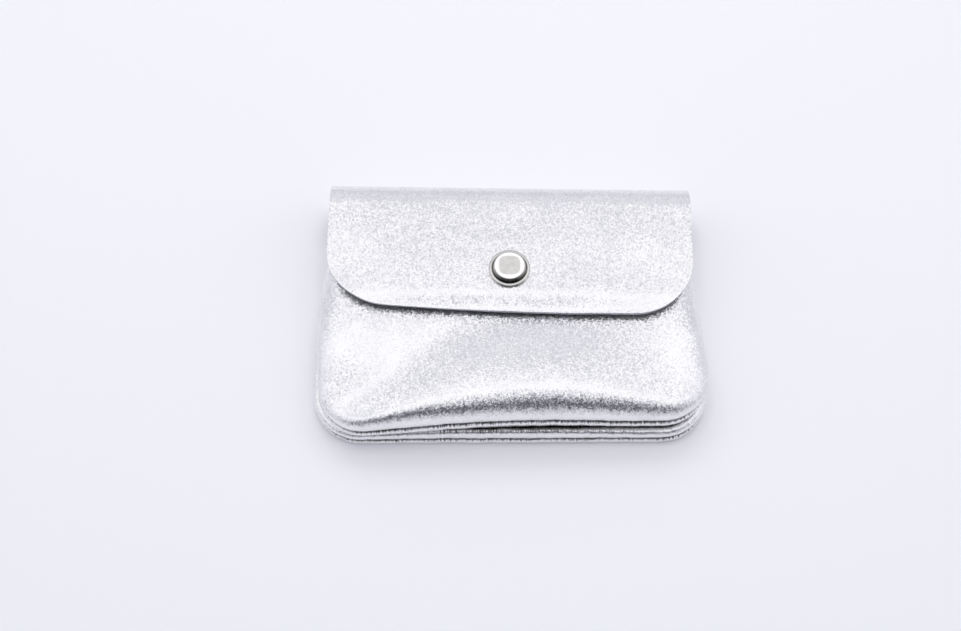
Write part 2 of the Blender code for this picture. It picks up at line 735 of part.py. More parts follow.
def make_spring(finish, hinge):
    """One wire in the socket's groove, bent so that two straight bars grip the stud.

    The bars cross the bore at each side of the stud's neck, closer than its head is wide.
    """
    bar = STUD_HEAD_RADIUS - SPRING_BITE + SPRING_WIRE
    radius = SOCKET_BORE + SOCKET_GROOVE_DEPTH - TOUCH_GAP - SPRING_WIRE
    corner = math.degrees(math.asin(bar / radius))
    path = arc_points((0, 0), (radius, radius), corner, -corner, SPRING_STEPS)
    half_bar = path[0][0]
    path = [(-half_bar, bar)] + path + [(-half_bar, -bar)]
    curve = bpy.data.curves.new("stud_spring", "CURVE")
    curve.dimensions = "3D"
    curve.bevel_depth = SPRING_WIRE
    curve.bevel_resolution = 1
    curve.use_fill_caps = True
    spline = curve.splines.new("POLY")
    spline.points.add(len(path) - 1)
    for point, (x, y) in zip(spline.points, path):
        point.co = (x, y, 0, 1)
    obj = bpy.data.objects.new("stud_spring", curve)
    bpy.context.scene.collection.objects.link(obj)
    curve.materials.append(finish)
    obj.location = (0, STUD_Y, groove_z())
    obj.parent = hinge
    obj.matrix_parent_inverse = hinge.matrix_world.inverted()


def make_stud(finish):
    """The stud on the front panel: a flat base, a neck and a rounded head, hollow below."""
    top = STUD_BASE_HEIGHT + STUD_HEIGHT
    widest = STUD_BASE_HEIGHT + STUD_HEAD_RISE
    neck_top = widest - (STUD_HEAD_RADIUS - STUD_NECK_RADIUS)
    hollow_top = POST_DEPTH_IN_STUD + TOUCH_GAP
    profile = [(0, hollow_top), (STUD_HOLLOW, hollow_top), (STUD_HOLLOW, 0)]
    profile += [(STUD_BASE_RADIUS - STUD_BASE_HEIGHT / 2, 0)]
    profile += [(STUD_BASE_RADIUS, STUD_BASE_HEIGHT / 2)]
    profile += [(STUD_BASE_RADIUS - STUD_BASE_HEIGHT / 2, STUD_BASE_HEIGHT)]
    profile += [(STUD_NECK_RADIUS, STUD_BASE_HEIGHT), (STUD_NECK_RADIUS, neck_top)]
    profile += arc_points(
        (STUD_NECK_RADIUS, widest), (STUD_HEAD_RADIUS - STUD_NECK_RADIUS, STUD_HEAD_ROUND),
        0, 90, ARC_STEPS,
    )
    profile.append((0, top))
    base_z = front_top_at_stud() + TOUCH_GAP
    turned_piece("stud", profile, (0, STUD_Y, base_z), finish)


def make_post(finish):
    """The rivet that holds the stud, with its flat head inside the front pocket."""
    under = -LEATHER / 2 - TOUCH_GAP
    tip = LEATHER / 2 + TOUCH_GAP + POST_DEPTH_IN_STUD
    profile = [
        (0, under - POST_FLANGE_HEIGHT),
        (POST_FLANGE_RADIUS - POST_FLANGE_HEIGHT / 2, under - POST_FLANGE_HEIGHT),
        (POST_FLANGE_RADIUS, under - POST_FLANGE_HEIGHT / 2),
        (POST_FLANGE_RADIUS - POST_FLANGE_HEIGHT / 2, under),
        (POST_RADIUS, under),
        (POST_RADIUS, tip),
        (0, tip),
    ]
    place = (0, STUD_Y, front_height(0, STUD_Y))
    turned_piece("stud_rivet", profile, place, finish)


def make_thread(name, pocket, depth, height, radius, finish):
    """A line of sewing that follows a pocket's edge at a depth inside it."""
    outline = pocket.outline()
    curve = bpy.data.curves.new(name, "CURVE")
    curve.dimensions = "3D"
    curve.bevel_depth = radius
    curve.bevel_resolution = 0
    curve.use_fill_caps = True
    spline = curve.splines.new("POLY")
    spline.points.add(len(outline) - 1)
    for index, (point, inward) in enumerate(zip(outline, pocket.inward(outline))):
        place = point + inward * depth
        spline.points[index].co = (*pocket.leaned(*place, height(*point)), 1)
    obj = bpy.data.objects.new(name, curve)
    bpy.context.scene.collection.objects.link(obj)
    curve.materials.append(finish)


def make_threads(finish):
    rear_seam_z = (BACK_LIP_Z + REAR_DIVIDER_LIP_Z) / 2
    front_seam_z = (FRONT_DIVIDER_LIP_Z + FRONT_LIP_Z) / 2
    make_thread(
        "rear_seam_thread", REAR_POCKET, THREAD_FROM_EDGE, lambda x, y: rear_seam_z,
        THREAD_RADIUS, finish,
    )
    make_thread(
        "middle_seam_thread", REAR_POCKET, MIDDLE_SEAM_INSET, lambda x, y: MIDDLE_SEAM_Z,
        MIDDLE_THREAD_RADIUS, finish,
    )
    make_thread(
        "front_seam_thread", FRONT_POCKET, THREAD_FROM_EDGE,
        lambda x, y: front_seam_z + front_seam_lift(x, y), THREAD_RADIUS, finish,
    )


def main():
    clear_scene()
    leather = material("leather", LEATHER_COLOUR, 0.38, 1.0)
    nickel = material("nickel", NICKEL_COLOUR, 0.22, 1.0)
    spring_wire = material("spring_wire", SPRING_COLOUR, 0.3, 1.0)
    thread = material("thread", THREAD_COLOUR, 0.7, 0.0)
    fold_hinge = hinge_empty("fold_hinge", LOWER_AXIS)
    flap_hinge = hinge_empty("flap_hinge", UPPER_AXIS, fold_hinge)
    make_back_panel(leather)
    make_dividers(leather)
    make_front_panel(leather)
    make_fold(leather, fold_hinge)
    make_flap(leather, flap_hinge)
    make_cap(nickel, flap_hinge)
    make_socket(nickel, flap_hinge)
    make_spring(spring_wire, flap_hinge)
    make_stud(nickel)
    make_post(nickel)
    make_threads(thread)


main()
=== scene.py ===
"""Looks of a small soft-leather purse wallet, lying on its back with its flap shut.

Every leather sheet is made again at the frame's sizes, fine enough for its puckers, its raw
cut edges and its turned seams. The press stud's pieces are turned again with round faces.
"""

import math

import bmesh
import bpy
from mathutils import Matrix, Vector, noise


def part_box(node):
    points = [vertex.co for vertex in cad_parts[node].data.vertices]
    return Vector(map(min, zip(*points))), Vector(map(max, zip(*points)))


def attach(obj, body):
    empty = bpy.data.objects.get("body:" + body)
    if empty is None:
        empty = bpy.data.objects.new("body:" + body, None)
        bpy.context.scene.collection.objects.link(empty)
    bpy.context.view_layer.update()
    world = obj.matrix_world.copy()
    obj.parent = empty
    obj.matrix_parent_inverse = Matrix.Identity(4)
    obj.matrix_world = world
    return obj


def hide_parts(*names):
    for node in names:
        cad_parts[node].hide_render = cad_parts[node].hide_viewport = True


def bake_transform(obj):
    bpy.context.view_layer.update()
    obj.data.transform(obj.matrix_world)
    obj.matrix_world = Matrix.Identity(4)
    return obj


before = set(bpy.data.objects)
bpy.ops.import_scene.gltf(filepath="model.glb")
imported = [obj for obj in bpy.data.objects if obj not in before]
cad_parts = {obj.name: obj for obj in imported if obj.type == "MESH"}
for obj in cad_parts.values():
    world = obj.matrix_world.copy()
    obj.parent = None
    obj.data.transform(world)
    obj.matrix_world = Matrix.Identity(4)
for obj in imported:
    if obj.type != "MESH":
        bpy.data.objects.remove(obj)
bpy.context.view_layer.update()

MM = 0.001

# Places that the frame gives
CAP_LOW, CAP_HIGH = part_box("stud_cap")
SOCKET_LOW, SOCKET_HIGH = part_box("stud_socket")
STUD_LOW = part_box("stud")[0]
RIVET_LOW, RIVET_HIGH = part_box("stud_rivet")
SPRING_LOW, SPRING_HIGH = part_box("stud_spring")
FOLD_LOW, FOLD_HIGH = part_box("fold_strip")
STUD_Y = (CAP_LOW.y + CAP_HIGH.y) / 2
FOLD_BACK_Y = FOLD_HIGH.y
FLAP_WIDTH = FOLD_HIGH.x - FOLD_LOW.x

# Leather
LEATHER = 1.0 * MM
TOUCH_GAP = 0.3 * MM
POCKET_GAP = 4.6 * MM
EDGE_BEVEL = 0.14 * MM

# Outline of the pockets
BODY_WIDTH = 118.4 * MM
MOUTH_WIDTH = 110.5 * MM
BODY_LENGTH = 82 * MM
CORNER_RADIUS = 14 * MM
WIDEST_BELOW_MOUTH = 46 * MM
FRONT_EDGE_DENT = 0.95 * MM
FRONT_EDGE_SETBACK = 0.9 * MM
FRONT_MOUTH_DROP = 15 * MM
DIVIDER_MOUTH_DROP = 12.5 * MM
SEAM_END_NOTCH = 2.2 * MM
REAR_LEAN_DEG = 1.2
FRONT_LEAN_DEG = 2.7

# Turned edges
TURN_RADIUS = 0.95 * MM
SEAM_LIP = 3.0 * MM
SIDE_ROLL = 8 * MM
FRONT_CORNER_ROLL = 2.4 * MM
DIVIDER_ROLL = 1.6 * MM
FRONT_BOTTOM_ROLL = 8.6 * MM
FRONT_SEAM_LIFT = 1.1 * MM
VALLEY_GAP = 0.8 * MM
VALLEY_DEPTH = 0.7 * MM
REAR_EDGE_CREST = 0.5 * MM
REAR_MIDDLE_CREST = 0.7 * MM
REAR_DIVIDER_ROLL = 1.1 * MM
SEAM_SPREAD = 0.26 * MM
FRONT_LIPS_LIFT = 0.9 * MM
MIDDLE_SEAM_INSET = 6 * MM
MIDDLE_POCKET_SPREAD = 9 * MM
SLOPE_STEP = 0.5 * MM
STEEPEST_SHARE = 0.4  # of the roll's mean slope

# Front panel's swelling, and its dimple round the stud
FRONT_BULGE = 2.9 * MM
FRONT_SIDE_SINK = 3.0 * MM  # towards both bottom corners
BULGE_SHIFT = 8 * MM
BULGE_REACHES = (80 * MM, 60 * MM)  # to the left and to the right
BULGE_PAST_ROLL = 1.4 * MM
BULGE_LENGTH = 27 * MM
STUD_DIMPLE = 1.4 * MM
STUD_SEAT = 7 * MM
STUD_DIMPLE_SPREAD = 6.5 * MM

# Fold and flap
LOWER_BEND = 7.0 * MM
UPPER_BEND = 9.5 * MM
FOLD_SPARE = 3.6 * MM
FLAP_REACH = 46.5 * MM
FLAP_CORNER = 18 * MM
FLAP_EDGE_BOW = 1.6 * MM
FLAP_EDGE_SLANT = 1.4 * MM
FLAP_EDGE_LIFT = -1.3 * MM  # from the top of the fold
FLAP_SIDE_DROOP = 1.2 * MM

# Press stud
CAP_RADIUS = 6.2 * MM
CAP_RIM_HEIGHT = 0.6 * MM
CAP_CROWN_RADIUS = 5.2 * MM
CAP_CROWN_HEIGHT = 2.3 * MM
CAP_EDGE_ROUND = 0.45 * MM
CAP_WALL_SLOPE = 0.3 * MM
CAP_DOME_RISE = 0.08 * MM
CAP_RIM_FROM_DEG = -60
CAP_EDGE_ARC_DEG = (8, 86)
# The cap's painted highlight ring: its dull near-square middle, squareness, softening and outer
# end
CAP_CENTRE = 3.25 * MM
CAP_SQUARENESS = 3  # where 2 is a circle
CAP_SOFTENING = 0.3 * MM
CAP_RING_END = 4.45 * MM
CAP_BRIM_GROOVE = 0.25 * MM
SHANK_RADIUS = 1.5 * MM
SHANK_BORE = 0.9 * MM
SHANK_CLEARANCE = 0.35 * MM
SOCKET_RADIUS = 5.4 * MM
SOCKET_FLOOR = 0.55 * MM
SOCKET_BORE = 3.05 * MM
SOCKET_GROOVE_DEPTH = 0.75 * MM
SOCKET_GROOVE_HEIGHT = 0.8 * MM
SOCKET_LIP = 0.35 * MM
SOCKET_CHAMFER = 0.45 * MM
SPRING_WIRE = 0.22 * MM
SPRING_BAR = 2.47 * MM
STUD_BASE_RADIUS = 5.0 * MM
STUD_BASE_HEIGHT = 0.5 * MM
STUD_NECK_RADIUS = 1.95 * MM
STUD_HEAD_RADIUS = 2.42 * MM
STUD_HEAD_RISE = 1.65 * MM
STUD_HEAD_ROUND = 0.6 * MM
STUD_HOLLOW = 1.3 * MM
POST_RADIUS = 0.95 * MM
POST_FLANGE_RADIUS = 4.3 * MM
POST_FLANGE_HEIGHT = 0.45 * MM
POST_DEPTH_IN_STUD = 1.0 * MM

# Sewing thread
THREAD_RADIUS = 0.17 * MM
THREAD_FROM_EDGE = 0.62 * MM
STITCH_LENGTH = 2.7 * MM
STITCH_SWING = 0.3 * MM
STITCH_STEEPNESS = 2.2  # where 1 is a sine
STITCH_STEPS = 12

# Soft irregularities of sewn leather
PUCKER_DEPTH = 0.16 * MM
PUCKER_LENGTH = 2.6 * MM
PUCKER_REACH = 6 * MM
CREASE_REACH = 5 * MM
# Painted shade on the valley between the pockets, behind the divider's edge
VALLEY_SHADE_SPAN = (0.35 * MM, 1.2 * MM)  # where inside its edge a valley turns dark
SEAM_WANDER = 0.2 * MM
SEAM_WANDER_LENGTH = 12 * MM
SLACK_HEIGHT = 0.22 * MM
SLACK_LENGTH = 17 * MM
CUT_WANDER = 0.07 * MM
CUT_WANDER_LENGTH = 5 * MM
PRESS_SHARE = 0.2  # the stack is so much flatter at its left corner
PRESS_PLACE = Vector((-54 * MM, -36 * MM))
PRESS_REACH = 15 * MM
# Shares of painted shade in the seam groove, partly the dark unfoiled leather there
SEAM_GROOVE_SHADE_SHARES = (1, 1, 1, 1, 0.95, 0.75, 0.45, 0.2)  # from the seam lip round the turn

# Seeds of the smooth random values
SEED_STEP = 7.31
FRONT_SLACK_SEED = 3
FLAP_SLACK_SEED = 4
CUT_SEED = 5
PUCKER_SEED = 10  # plus the pocket's
WANDER_SEED = 20  # plus the pocket's

# Fineness of the pieces, and the angles from which edges are bevelled or sharp
SIDE_ROWS = 56
CORNER_ROWS = 20
COLUMNS = 120
EVEN_COLUMNS = 16
ROLL_STEPS = 14
TURN_STEPS = 7
RISE_STEPS = 4
BEND_STEPS = 24
FLAP_COLUMNS = 128
FLAP_ROWS = 44
FLAP_CORNER_ROWS = 18
ROUND_STEPS = 96
ARC_STEPS = 10
MERGE_DISTANCE = TOUCH_GAP / 100
BEVEL_FROM_DEG = 60
LEATHER_SHARP_FROM_DEG = 50
METAL_SHARP_FROM_DEG = 38
FLESH_SLOT, CUT_SLOT = 1, 2  # places in a leather piece's list of materials

# Places that follow from the sizes
LEAN_DROP = math.sin(math.radians(REAR_LEAN_DEG)) * (BODY_WIDTH / 2 - CORNER_RADIUS)
BOTTOM_Y = -BODY_LENGTH / 2 + LEAN_DROP
FRONT_MOUTH_Y = FOLD_BACK_Y - FRONT_MOUTH_DROP
DIVIDER_MOUTH_Y = FOLD_BACK_Y - DIVIDER_MOUTH_DROP
FOLD_MIDDLE_Y = FOLD_BACK_Y - LEATHER / 2
BACK_Z = LEATHER / 2
REAR_DIVIDER_Z = BACK_Z + POCKET_GAP + LEATHER
FRONT_DIVIDER_Z = REAR_DIVIDER_Z + POCKET_GAP + LEATHER
FRONT_Z = FRONT_DIVIDER_Z + POCKET_GAP + LEATHER
LIP_STEP = LEATHER + TOUCH_GAP
BACK_LIP_Z = BACK_Z + 2 * TURN_RADIUS
REAR_DIVIDER_LIP_Z = BACK_LIP_Z + LIP_STEP
REAR_DIVIDER_EDGE_Z = REAR_DIVIDER_LIP_Z + 2 * TURN_RADIUS
MIDDLE_SEAM_Z = REAR_DIVIDER_EDGE_Z + LEATHER / 2 + VALLEY_GAP / 2
FRONT_DIVIDER_EDGE_Z = MIDDLE_SEAM_Z + VALLEY_GAP / 2 + LEATHER / 2
FRONT_DIVIDER_LIP_Z = FRONT_DIVIDER_EDGE_Z + 2 * TURN_RADIUS + FRONT_LIPS_LIFT
FRONT_LIP_Z = FRONT_DIVIDER_LIP_Z + LIP_STEP
FOLD_TOP_Z = FRONT_Z + FOLD_SPARE
LOWER_CENTRE = Vector((0, FOLD_MIDDLE_Y - LOWER_BEND, BACK_Z + LOWER_BEND))
UPPER_CENTRE = Vector((0, FOLD_MIDDLE_Y - UPPER_BEND, FOLD_TOP_Z - UPPER_BEND))
STRIP_MIDDLE_Z = (LOWER_CENTRE.z + UPPER_CENTRE.z) / 2
FLAP_STUD_Z = (CAP_HIGH.z - CAP_CROWN_HEIGHT) - TOUCH_GAP - LEATHER / 2

# Camera, with its angles in degrees
CAMERA_ELEVATION = 62.94
CAMERA_AZIMUTH = 0.75
CAMERA_ROLL = 0.11
CAMERA_DISTANCE = 510 * MM
CAMERA_TARGET = Vector((-8.6 * MM, -0.9 * MM, 8 * MM))
CAMERA_LENS = 62.3  # for a sensor 36 wide
CAMERA_CLIP = 10 * MM


def smoothstep(low, high, value):
    share = min(1.0, max(0.0, (value - low) / (high - low)))
    return share * share * (3 - 2 * share)


def middle_share(x, reach):
    """1 at the middle, falling to 0 at a reach to each side."""
    share = min(1.0, abs(x) / reach)
    return (1 - share * share) ** 2


def across(column, columns):
    """-1 to 1 along a row."""
    return 2 * column / columns - 1


def drift(seed, length, x, y=0.0):
    """A smooth random value, about -1 to 1, that changes over a length."""
    return noise.noise(Vector((x / length, y / length, seed * SEED_STEP)))


def linked(name, data):
    """A new object in the scene."""
    made = bpy.data.objects.new(name, data)
    bpy.context.scene.collection.objects.link(made)
    return made


# Nodes of the materials


def add_node(tree, kind, inputs=None, **settings):
    """Adds a shader node. An input is a value, or another node's output, which is then linked."""
    made = tree.nodes.new("ShaderNode" + kind)
    for name, value in settings.items():
        setattr(made, name, value)
    for name, value in (inputs or {}).items():
        if isinstance(value, bpy.types.NodeSocket):
            tree.links.new(value, made.inputs[name])
        else:
            made.inputs[name].default_value = value
    return made


def new_material(name):
    made = bpy.data.materials.new(name)
    made.use_nodes = True
    return made, made.node_tree, made.node_tree.nodes["Principled BSDF"]


def object_place(tree):
    return add_node(tree, "TexCoord").outputs["Object"]


def fill_shader(tree, shader, colour, roughness, normal, metallic=0.0):
    tree.links.new(colour, shader.inputs["Base Color"])
    tree.links.new(roughness, shader.inputs["Roughness"])
    tree.links.new(normal, shader.inputs["Normal"])
    shader.inputs["Metallic"].default_value = metallic


def noise_value(tree, place, size, detail, roughness):
    """Noise whose lumps are about the given size across."""
    inputs = {"Vector": place, "Scale": 1 / size, "Detail": detail, "Roughness": roughness}
    return add_node(tree, "TexNoise", inputs).outputs["Fac"]


def remap(tree, value, low, high, to_low=0.0, to_high=1.0):
    """The value's way from low to high, eased, as a way from to_low to to_high."""
    inputs = {"Value": value, "From Min": low, "From Max": high}
    inputs.update({"To Min": to_low, "To Max": to_high})
    made = add_node(tree, "MapRange", inputs, interpolation_type="SMOOTHSTEP")
    return made.outputs["Result"]


def combine(tree, operation, one, other):
    made = add_node(tree, "Math", {0: one, 1: other}, operation=operation)
    return made.outputs["Value"]


def product(tree, one, other):
    return combine(tree, "MULTIPLY", one, other)


def vector_math(tree, operation, inputs):
    return add_node(tree, "VectorMath", inputs, operation=operation).outputs["Vector"]


def mix_colour(tree, share, one, other):
    made = add_node(tree, "Mix", {0: share, 6: one, 7: other}, data_type="RGBA")
    return made.outputs[2]


def bump(tree, height, distance, under=None):
    inputs = {"Height": height, "Distance": distance}
    if under:
        inputs["Normal"] = under
    return add_node(tree, "Bump", inputs).outputs["Normal"]


# Grain of the foil. Two values are a range, and four are a range and what it becomes
GRAIN_SIZE = 0.62 * MM
GRAIN_WANDER = GRAIN_SIZE * 0.9
GRAIN_WANDER_RATE = 0.6  # lumps of it across one grain
GRAIN_BORDER = 0.24  # share of a grain within which its edge slopes
GRAIN_TOPS = 0.6  # height of its top, where the fine grain's is 1
GRAIN_DEPTH = 0.018 * MM
FINE_GRAIN_SIZE = 0.27 * MM
FACET_SIZE = 0.4 * MM
FACET_TILT = 0.28
FACET_MEAN = (0.5, 0.5, 0.5)  # of their random values
PATCH_SIZE = 9 * MM
PATCH_WEAR = (0.3, 0.7, 0.3, 1.0)
VALLEY_RANGE = (0.8, 0.1)
VALLEY_WEAR = 0.2
FLECK_RANGE = (0.48, 0.74)
FOIL_ROUGHNESS = (0.26, 0.42)
CREASE_LENGTH = 0.6 * MM
CREASE_DEPTH = 0.1 * MM
# Where the painted shade in the seam grooves and valleys starts, its range, its ragged edge and
# its patches
GROOVE_SHADE_START = (0.0, 0.2)
GROOVE_SHADE_RANGE = (0.3, 0.7)
GROOVE_SHADE_RAGGED = (0.3, 0.7, -0.6, 0.6)
GROOVE_SHADE_PATCHY = (0.35, 0.6, 0.55, 1.0)

# Other finishes
FIBRE_RANGE = (0.2, 0.8)
METAL_PATCH_SIZE = 2.2 * MM
METAL_PATCH_RANGE = (0.3, 0.8)
SCRATCH_SIZE = 0.12 * MM
CAP_SIDE_SHADE = 0.45  # of the wall's full shade, away from its front

# Colours
FOIL = (0.925, 0.92, 0.92, 1)
FOIL_WORN = (0.60, 0.61, 0.64, 1)
# Painted shade in the seam grooves and the valleys between the pockets, partly the dark unfoiled
# leather in the seams
GROOVE_PAINTED_SHADE = (0.17, 0.16, 0.155, 1)
FLESH = (0.50, 0.50, 0.52, 1)
FLESH_DARK = (0.36, 0.36, 0.38, 1)
CUT = (0.84, 0.87, 0.92, 1)
CUT_DARK = (0.56, 0.58, 0.62, 1)
NICKEL = (0.64, 0.63, 0.605, 1)
NICKEL_DULL = (0.56, 0.55, 0.52, 1)
# Painted highlight and painted shade on the cap's plating
NICKEL_PAINTED_HIGHLIGHT = (0.97, 0.965, 0.95, 1)
NICKEL_SHADED = (0.16, 0.155, 0.145, 1)
WIRE = (0.72, 0.68, 0.58, 1)
WIRE_DULL = (0.52, 0.48, 0.40, 1)
THREAD = (0.74, 0.75, 0.78, 1)
THREAD_DARK = (0.46, 0.47, 0.50, 1)


def foil_leather():
    """Silver foil on fine-grained leather: bright grain tops, and dull crackled valleys.

    The attribute seam holds the share of painted shade in the grooves and valleys, the way along
    the seam, and its nearness. In the seams the painted shade is partly the leather's own dark
    unfoiled colour.
    """
    made, tree, shader = new_material("foil_leather")
    place = object_place(tree)
    seam = add_node(tree, "Attribute", attribute_name="seam").outputs["Vector"]
    seam = add_node(tree, "SeparateXYZ", {"Vector": seam}).outputs
    inputs = {"Vector": place, "Scale": GRAIN_WANDER_RATE / GRAIN_SIZE}
    wander = add_node(tree, "TexNoise", inputs).outputs["Color"]
    wander = vector_math(tree, "SCALE", {0: wander, "Scale": GRAIN_WANDER})
    inputs = {"Vector": vector_math(tree, "ADD", {0: place, 1: wander}), "Scale": 1 / GRAIN_SIZE}
    cells = add_node(tree, "TexVoronoi", inputs, feature="DISTANCE_TO_EDGE")
    tops = remap(tree, cells.outputs["Distance"], 0.0, GRAIN_BORDER)
    fine = noise_value(tree, place, FINE_GRAIN_SIZE, detail=2.0, roughness=0.6)
    patches = noise_value(tree, place, PATCH_SIZE, detail=3.0, roughness=0.6)
    patchy = remap(tree, patches, *PATCH_WEAR)
    wear = product(tree, product(tree, remap(tree, tops, *VALLEY_RANGE), patchy), VALLEY_WEAR)
    flecks = product(tree, remap(tree, fine, *FLECK_RANGE), patchy)
    worn = combine(tree, "MAXIMUM", wear, flecks)
    inputs = {"W": seam["Y"], "Scale": 1 / CREASE_LENGTH, "Detail": 3.0, "Roughness": 0.7}
    creases = add_node(tree, "TexNoise", inputs, noise_dimensions="1D").outputs["Fac"]
    # Painted shade in the grooves and valleys, with a ragged, patchy edge
    ragged = combine(tree, "ADD", seam["X"], remap(tree, creases, *GROOVE_SHADE_RAGGED))
    within = remap(tree, seam["X"], *GROOVE_SHADE_START)
    groove = product(tree, remap(tree, ragged, *GROOVE_SHADE_RANGE), within)
    groove = product(tree, groove, remap(tree, patches, *GROOVE_SHADE_PATCHY))
    colour = mix_colour(tree, groove, mix_colour(tree, worn, FOIL, FOIL_WORN), GROOVE_PAINTED_SHADE)
    rough = remap(tree, worn, 0.0, 1.0, *FOIL_ROUGHNESS)
    creased = bump(tree, product(tree, creases, seam["Z"]), CREASE_DEPTH)
    grain = combine(tree, "ADD", product(tree, tops, GRAIN_TOPS), fine)
    grain = bump(tree, grain, GRAIN_DEPTH, under=creased)
    facets = add_node(tree, "TexVoronoi", {"Vector": place, "Scale": 1 / FACET_SIZE})
    tilt = vector_math(tree, "SUBTRACT", {0: facets.outputs["Color"], 1: FACET_MEAN})
    tilt = vector_math(tree, "SCALE", {0: tilt, "Scale": FACET_TILT})
    facing = vector_math(tree, "ADD", {0: grain, 1: tilt})
    facing = vector_math(tree, "NORMALIZE", {0: facing})
    fill_shader(tree, shader, colour, rough, facing, metallic=1.0)
    return made


def matt_finish(name, colours, fibre, patch, shown, depth, roughness, sheen=0.0):
    """A matt finish of fine fibres within patches, from a pale and a dark colour.

    fibre and patch are the size, detail and roughness of a noise. shown is where the
    product of the two goes from dark to pale.
    """
    made, tree, shader = new_material(name)
    place = object_place(tree)
    pale, dark = colours
    fibres = noise_value(tree, place, *fibre)
    share = product(tree, fibres, noise_value(tree, place, *patch))
    colour = mix_colour(tree, remap(tree, share, *shown), dark, pale)
    rough = remap(tree, fibres, *FIBRE_RANGE, *roughness)
    fill_shader(tree, shader, colour, rough, bump(tree, fibres, depth))
    shader.inputs["Sheen Weight"].default_value = sheen
    return made


def flesh_side():
    """The unlined inner side of the leather, grey and napped."""
    return matt_finish(
        "flesh_side", (FLESH, FLESH_DARK), fibre=(0.25 * MM, 3.0, 0.7), patch=(6 * MM, 3.0, 0.6),
        shown=(0.15, 0.4), depth=0.12 * MM, roughness=(0.85, 1.0), sheen=0.35,
    )


def cut_edge():
    """The raw cut through the leather: pale fibres in thin layers."""
    return matt_finish(
        "cut_edge", (CUT, CUT_DARK), fibre=(0.16 * MM, 3.0, 0.7), patch=(1.1 * MM, 2.0, 0.5),
        shown=(0.16, 0.36), depth=0.1 * MM, roughness=(0.7, 0.95),
    )


def sewing_thread():
    return matt_finish(
        "sewing_thread", (THREAD, THREAD_DARK), fibre=(0.1 * MM, 2.0, 0.7),
        patch=(0.9 * MM, 2.0, 0.5), shown=(0.14, 0.36), depth=0.06 * MM,
        roughness=(0.55, 0.8), sheen=0.3,
    )


def polished_metal(
    name, bright, dull, roughness, detail=4.0, dulled=(0.52, 0.78), depth=0.004 * MM, tint=None
):
    """Plated metal with faint scratches, and with patches that are dull in a range of noise."""
    made, tree, shader = new_material(name)
    place = object_place(tree)
    patches = noise_value(tree, place, METAL_PATCH_SIZE, detail, roughness=0.6)
    scratches = noise_value(tree, place, SCRATCH_SIZE, detail=2.0, roughness=0.7)
    colour = mix_colour(tree, remap(tree, patches, *dulled), bright, dull)
    if tint:
        colour = tint(tree, colour)
    rough = remap(tree, patches, *METAL_PATCH_RANGE, *roughness)
    fill_shader(tree, shader, colour, rough, bump(tree, scratches, depth), metallic=1.0)
    return made


def cap_painted_light_tint(tree, colour):
    """Paints a highlight ring on the cap's top, and painted shade on its wall."""
    bright = add_node(tree, "Attribute", attribute_name="bright").outputs["Fac"]
    colour = mix_colour(tree, remap(tree, bright, 0.0, 1.0), colour, NICKEL_PAINTED_HIGHLIGHT)
    return mix_colour(tree, remap(tree, bright, 0.0, -1.0), colour, NICKEL_SHADED)


# Outline of the pockets, as the frame has it, and heights near the frame's


class Pocket:
    """Outline of a turned pocket, and the distance inside it."""

    def __init__(self, mouth_y, setback, dent, lean_deg, seed):
        self.mouth_y = mouth_y
        self.dent = dent
        self.lean = math.radians(lean_deg)
        self.seed = seed
        self.bottom_y = BOTTOM_Y + LEATHER / 2 + setback
        self.half = BODY_WIDTH / 2 - LEATHER / 2 - setback
        self.corner_y = self.bottom_y + CORNER_RADIUS
        self.corner_x = self.half_width(self.corner_y) - CORNER_RADIUS

    def half_width(self, y):
        flare = (BODY_WIDTH - MOUTH_WIDTH) / 2
        narrowing = smoothstep(FRONT_MOUTH_Y - WIDEST_BELOW_MOUTH, FOLD_BACK_Y, y)
        return self.half - flare * narrowing

    def edge_rise(self, x):
        return self.dent * middle_share(x, self.half - CORNER_RADIUS)

    def left_side(self):
        step = (self.mouth_y - self.corner_y) / SIDE_ROWS
        rows = [self.mouth_y - step * row for row in range(SIDE_ROWS)]
        return [Vector((-self.half_width(y), y)) for y in rows]

    def left_corner(self):
        points = []
        for row in range(CORNER_ROWS):
            angle = math.pi / 2 * row / CORNER_ROWS
            x = -(self.half_width(self.corner_y) - CORNER_RADIUS * (1 - math.cos(angle)))
            y = self.corner_y - CORNER_RADIUS * math.sin(angle)
            points.append(Vector((x, y + self.edge_rise(x))))
        return points

    def bottom(self):
        places = [self.corner_x * across(column, COLUMNS) for column in range(COLUMNS + 1)]
        return [Vector((x, self.bottom_y + self.edge_rise(x))) for x in places]

    def outline(self):
        """The U from the mouth's left end round to its right end."""
        left = self.left_side() + self.left_corner()
        right = [Vector((-p.x, p.y)) for p in reversed(left)]
        return left + self.bottom() + right

    def low_share(self, y):
        """1 at the bottom edge, falling to 0 where the corners begin."""
        return 1 - smoothstep(self.bottom_y + self.dent, self.corner_y, y)

    def inside(self, x, y):
        """Distance from the turned edge to a point inside it."""
        from_side = self.half_width(y) - abs(x)
        from_bottom = y - self.bottom_y - self.edge_rise(x)
        if y < self.corner_y and abs(x) > self.corner_x:
            centre = Vector((self.corner_x, self.corner_y))
            return CORNER_RADIUS - (Vector((abs(x), y - self.edge_rise(x))) - centre).length
        return min(from_side, from_bottom)


FRONT_SHAPE = (FRONT_EDGE_SETBACK, FRONT_EDGE_DENT, FRONT_LEAN_DEG)
REAR_POCKET = Pocket(DIVIDER_MOUTH_Y, 0, 0, REAR_LEAN_DEG, seed=1)
FRONT_POCKET = Pocket(DIVIDER_MOUTH_Y, *FRONT_SHAPE, seed=2)
FRONT_FACE = Pocket(FRONT_MOUTH_Y, *FRONT_SHAPE, seed=2)


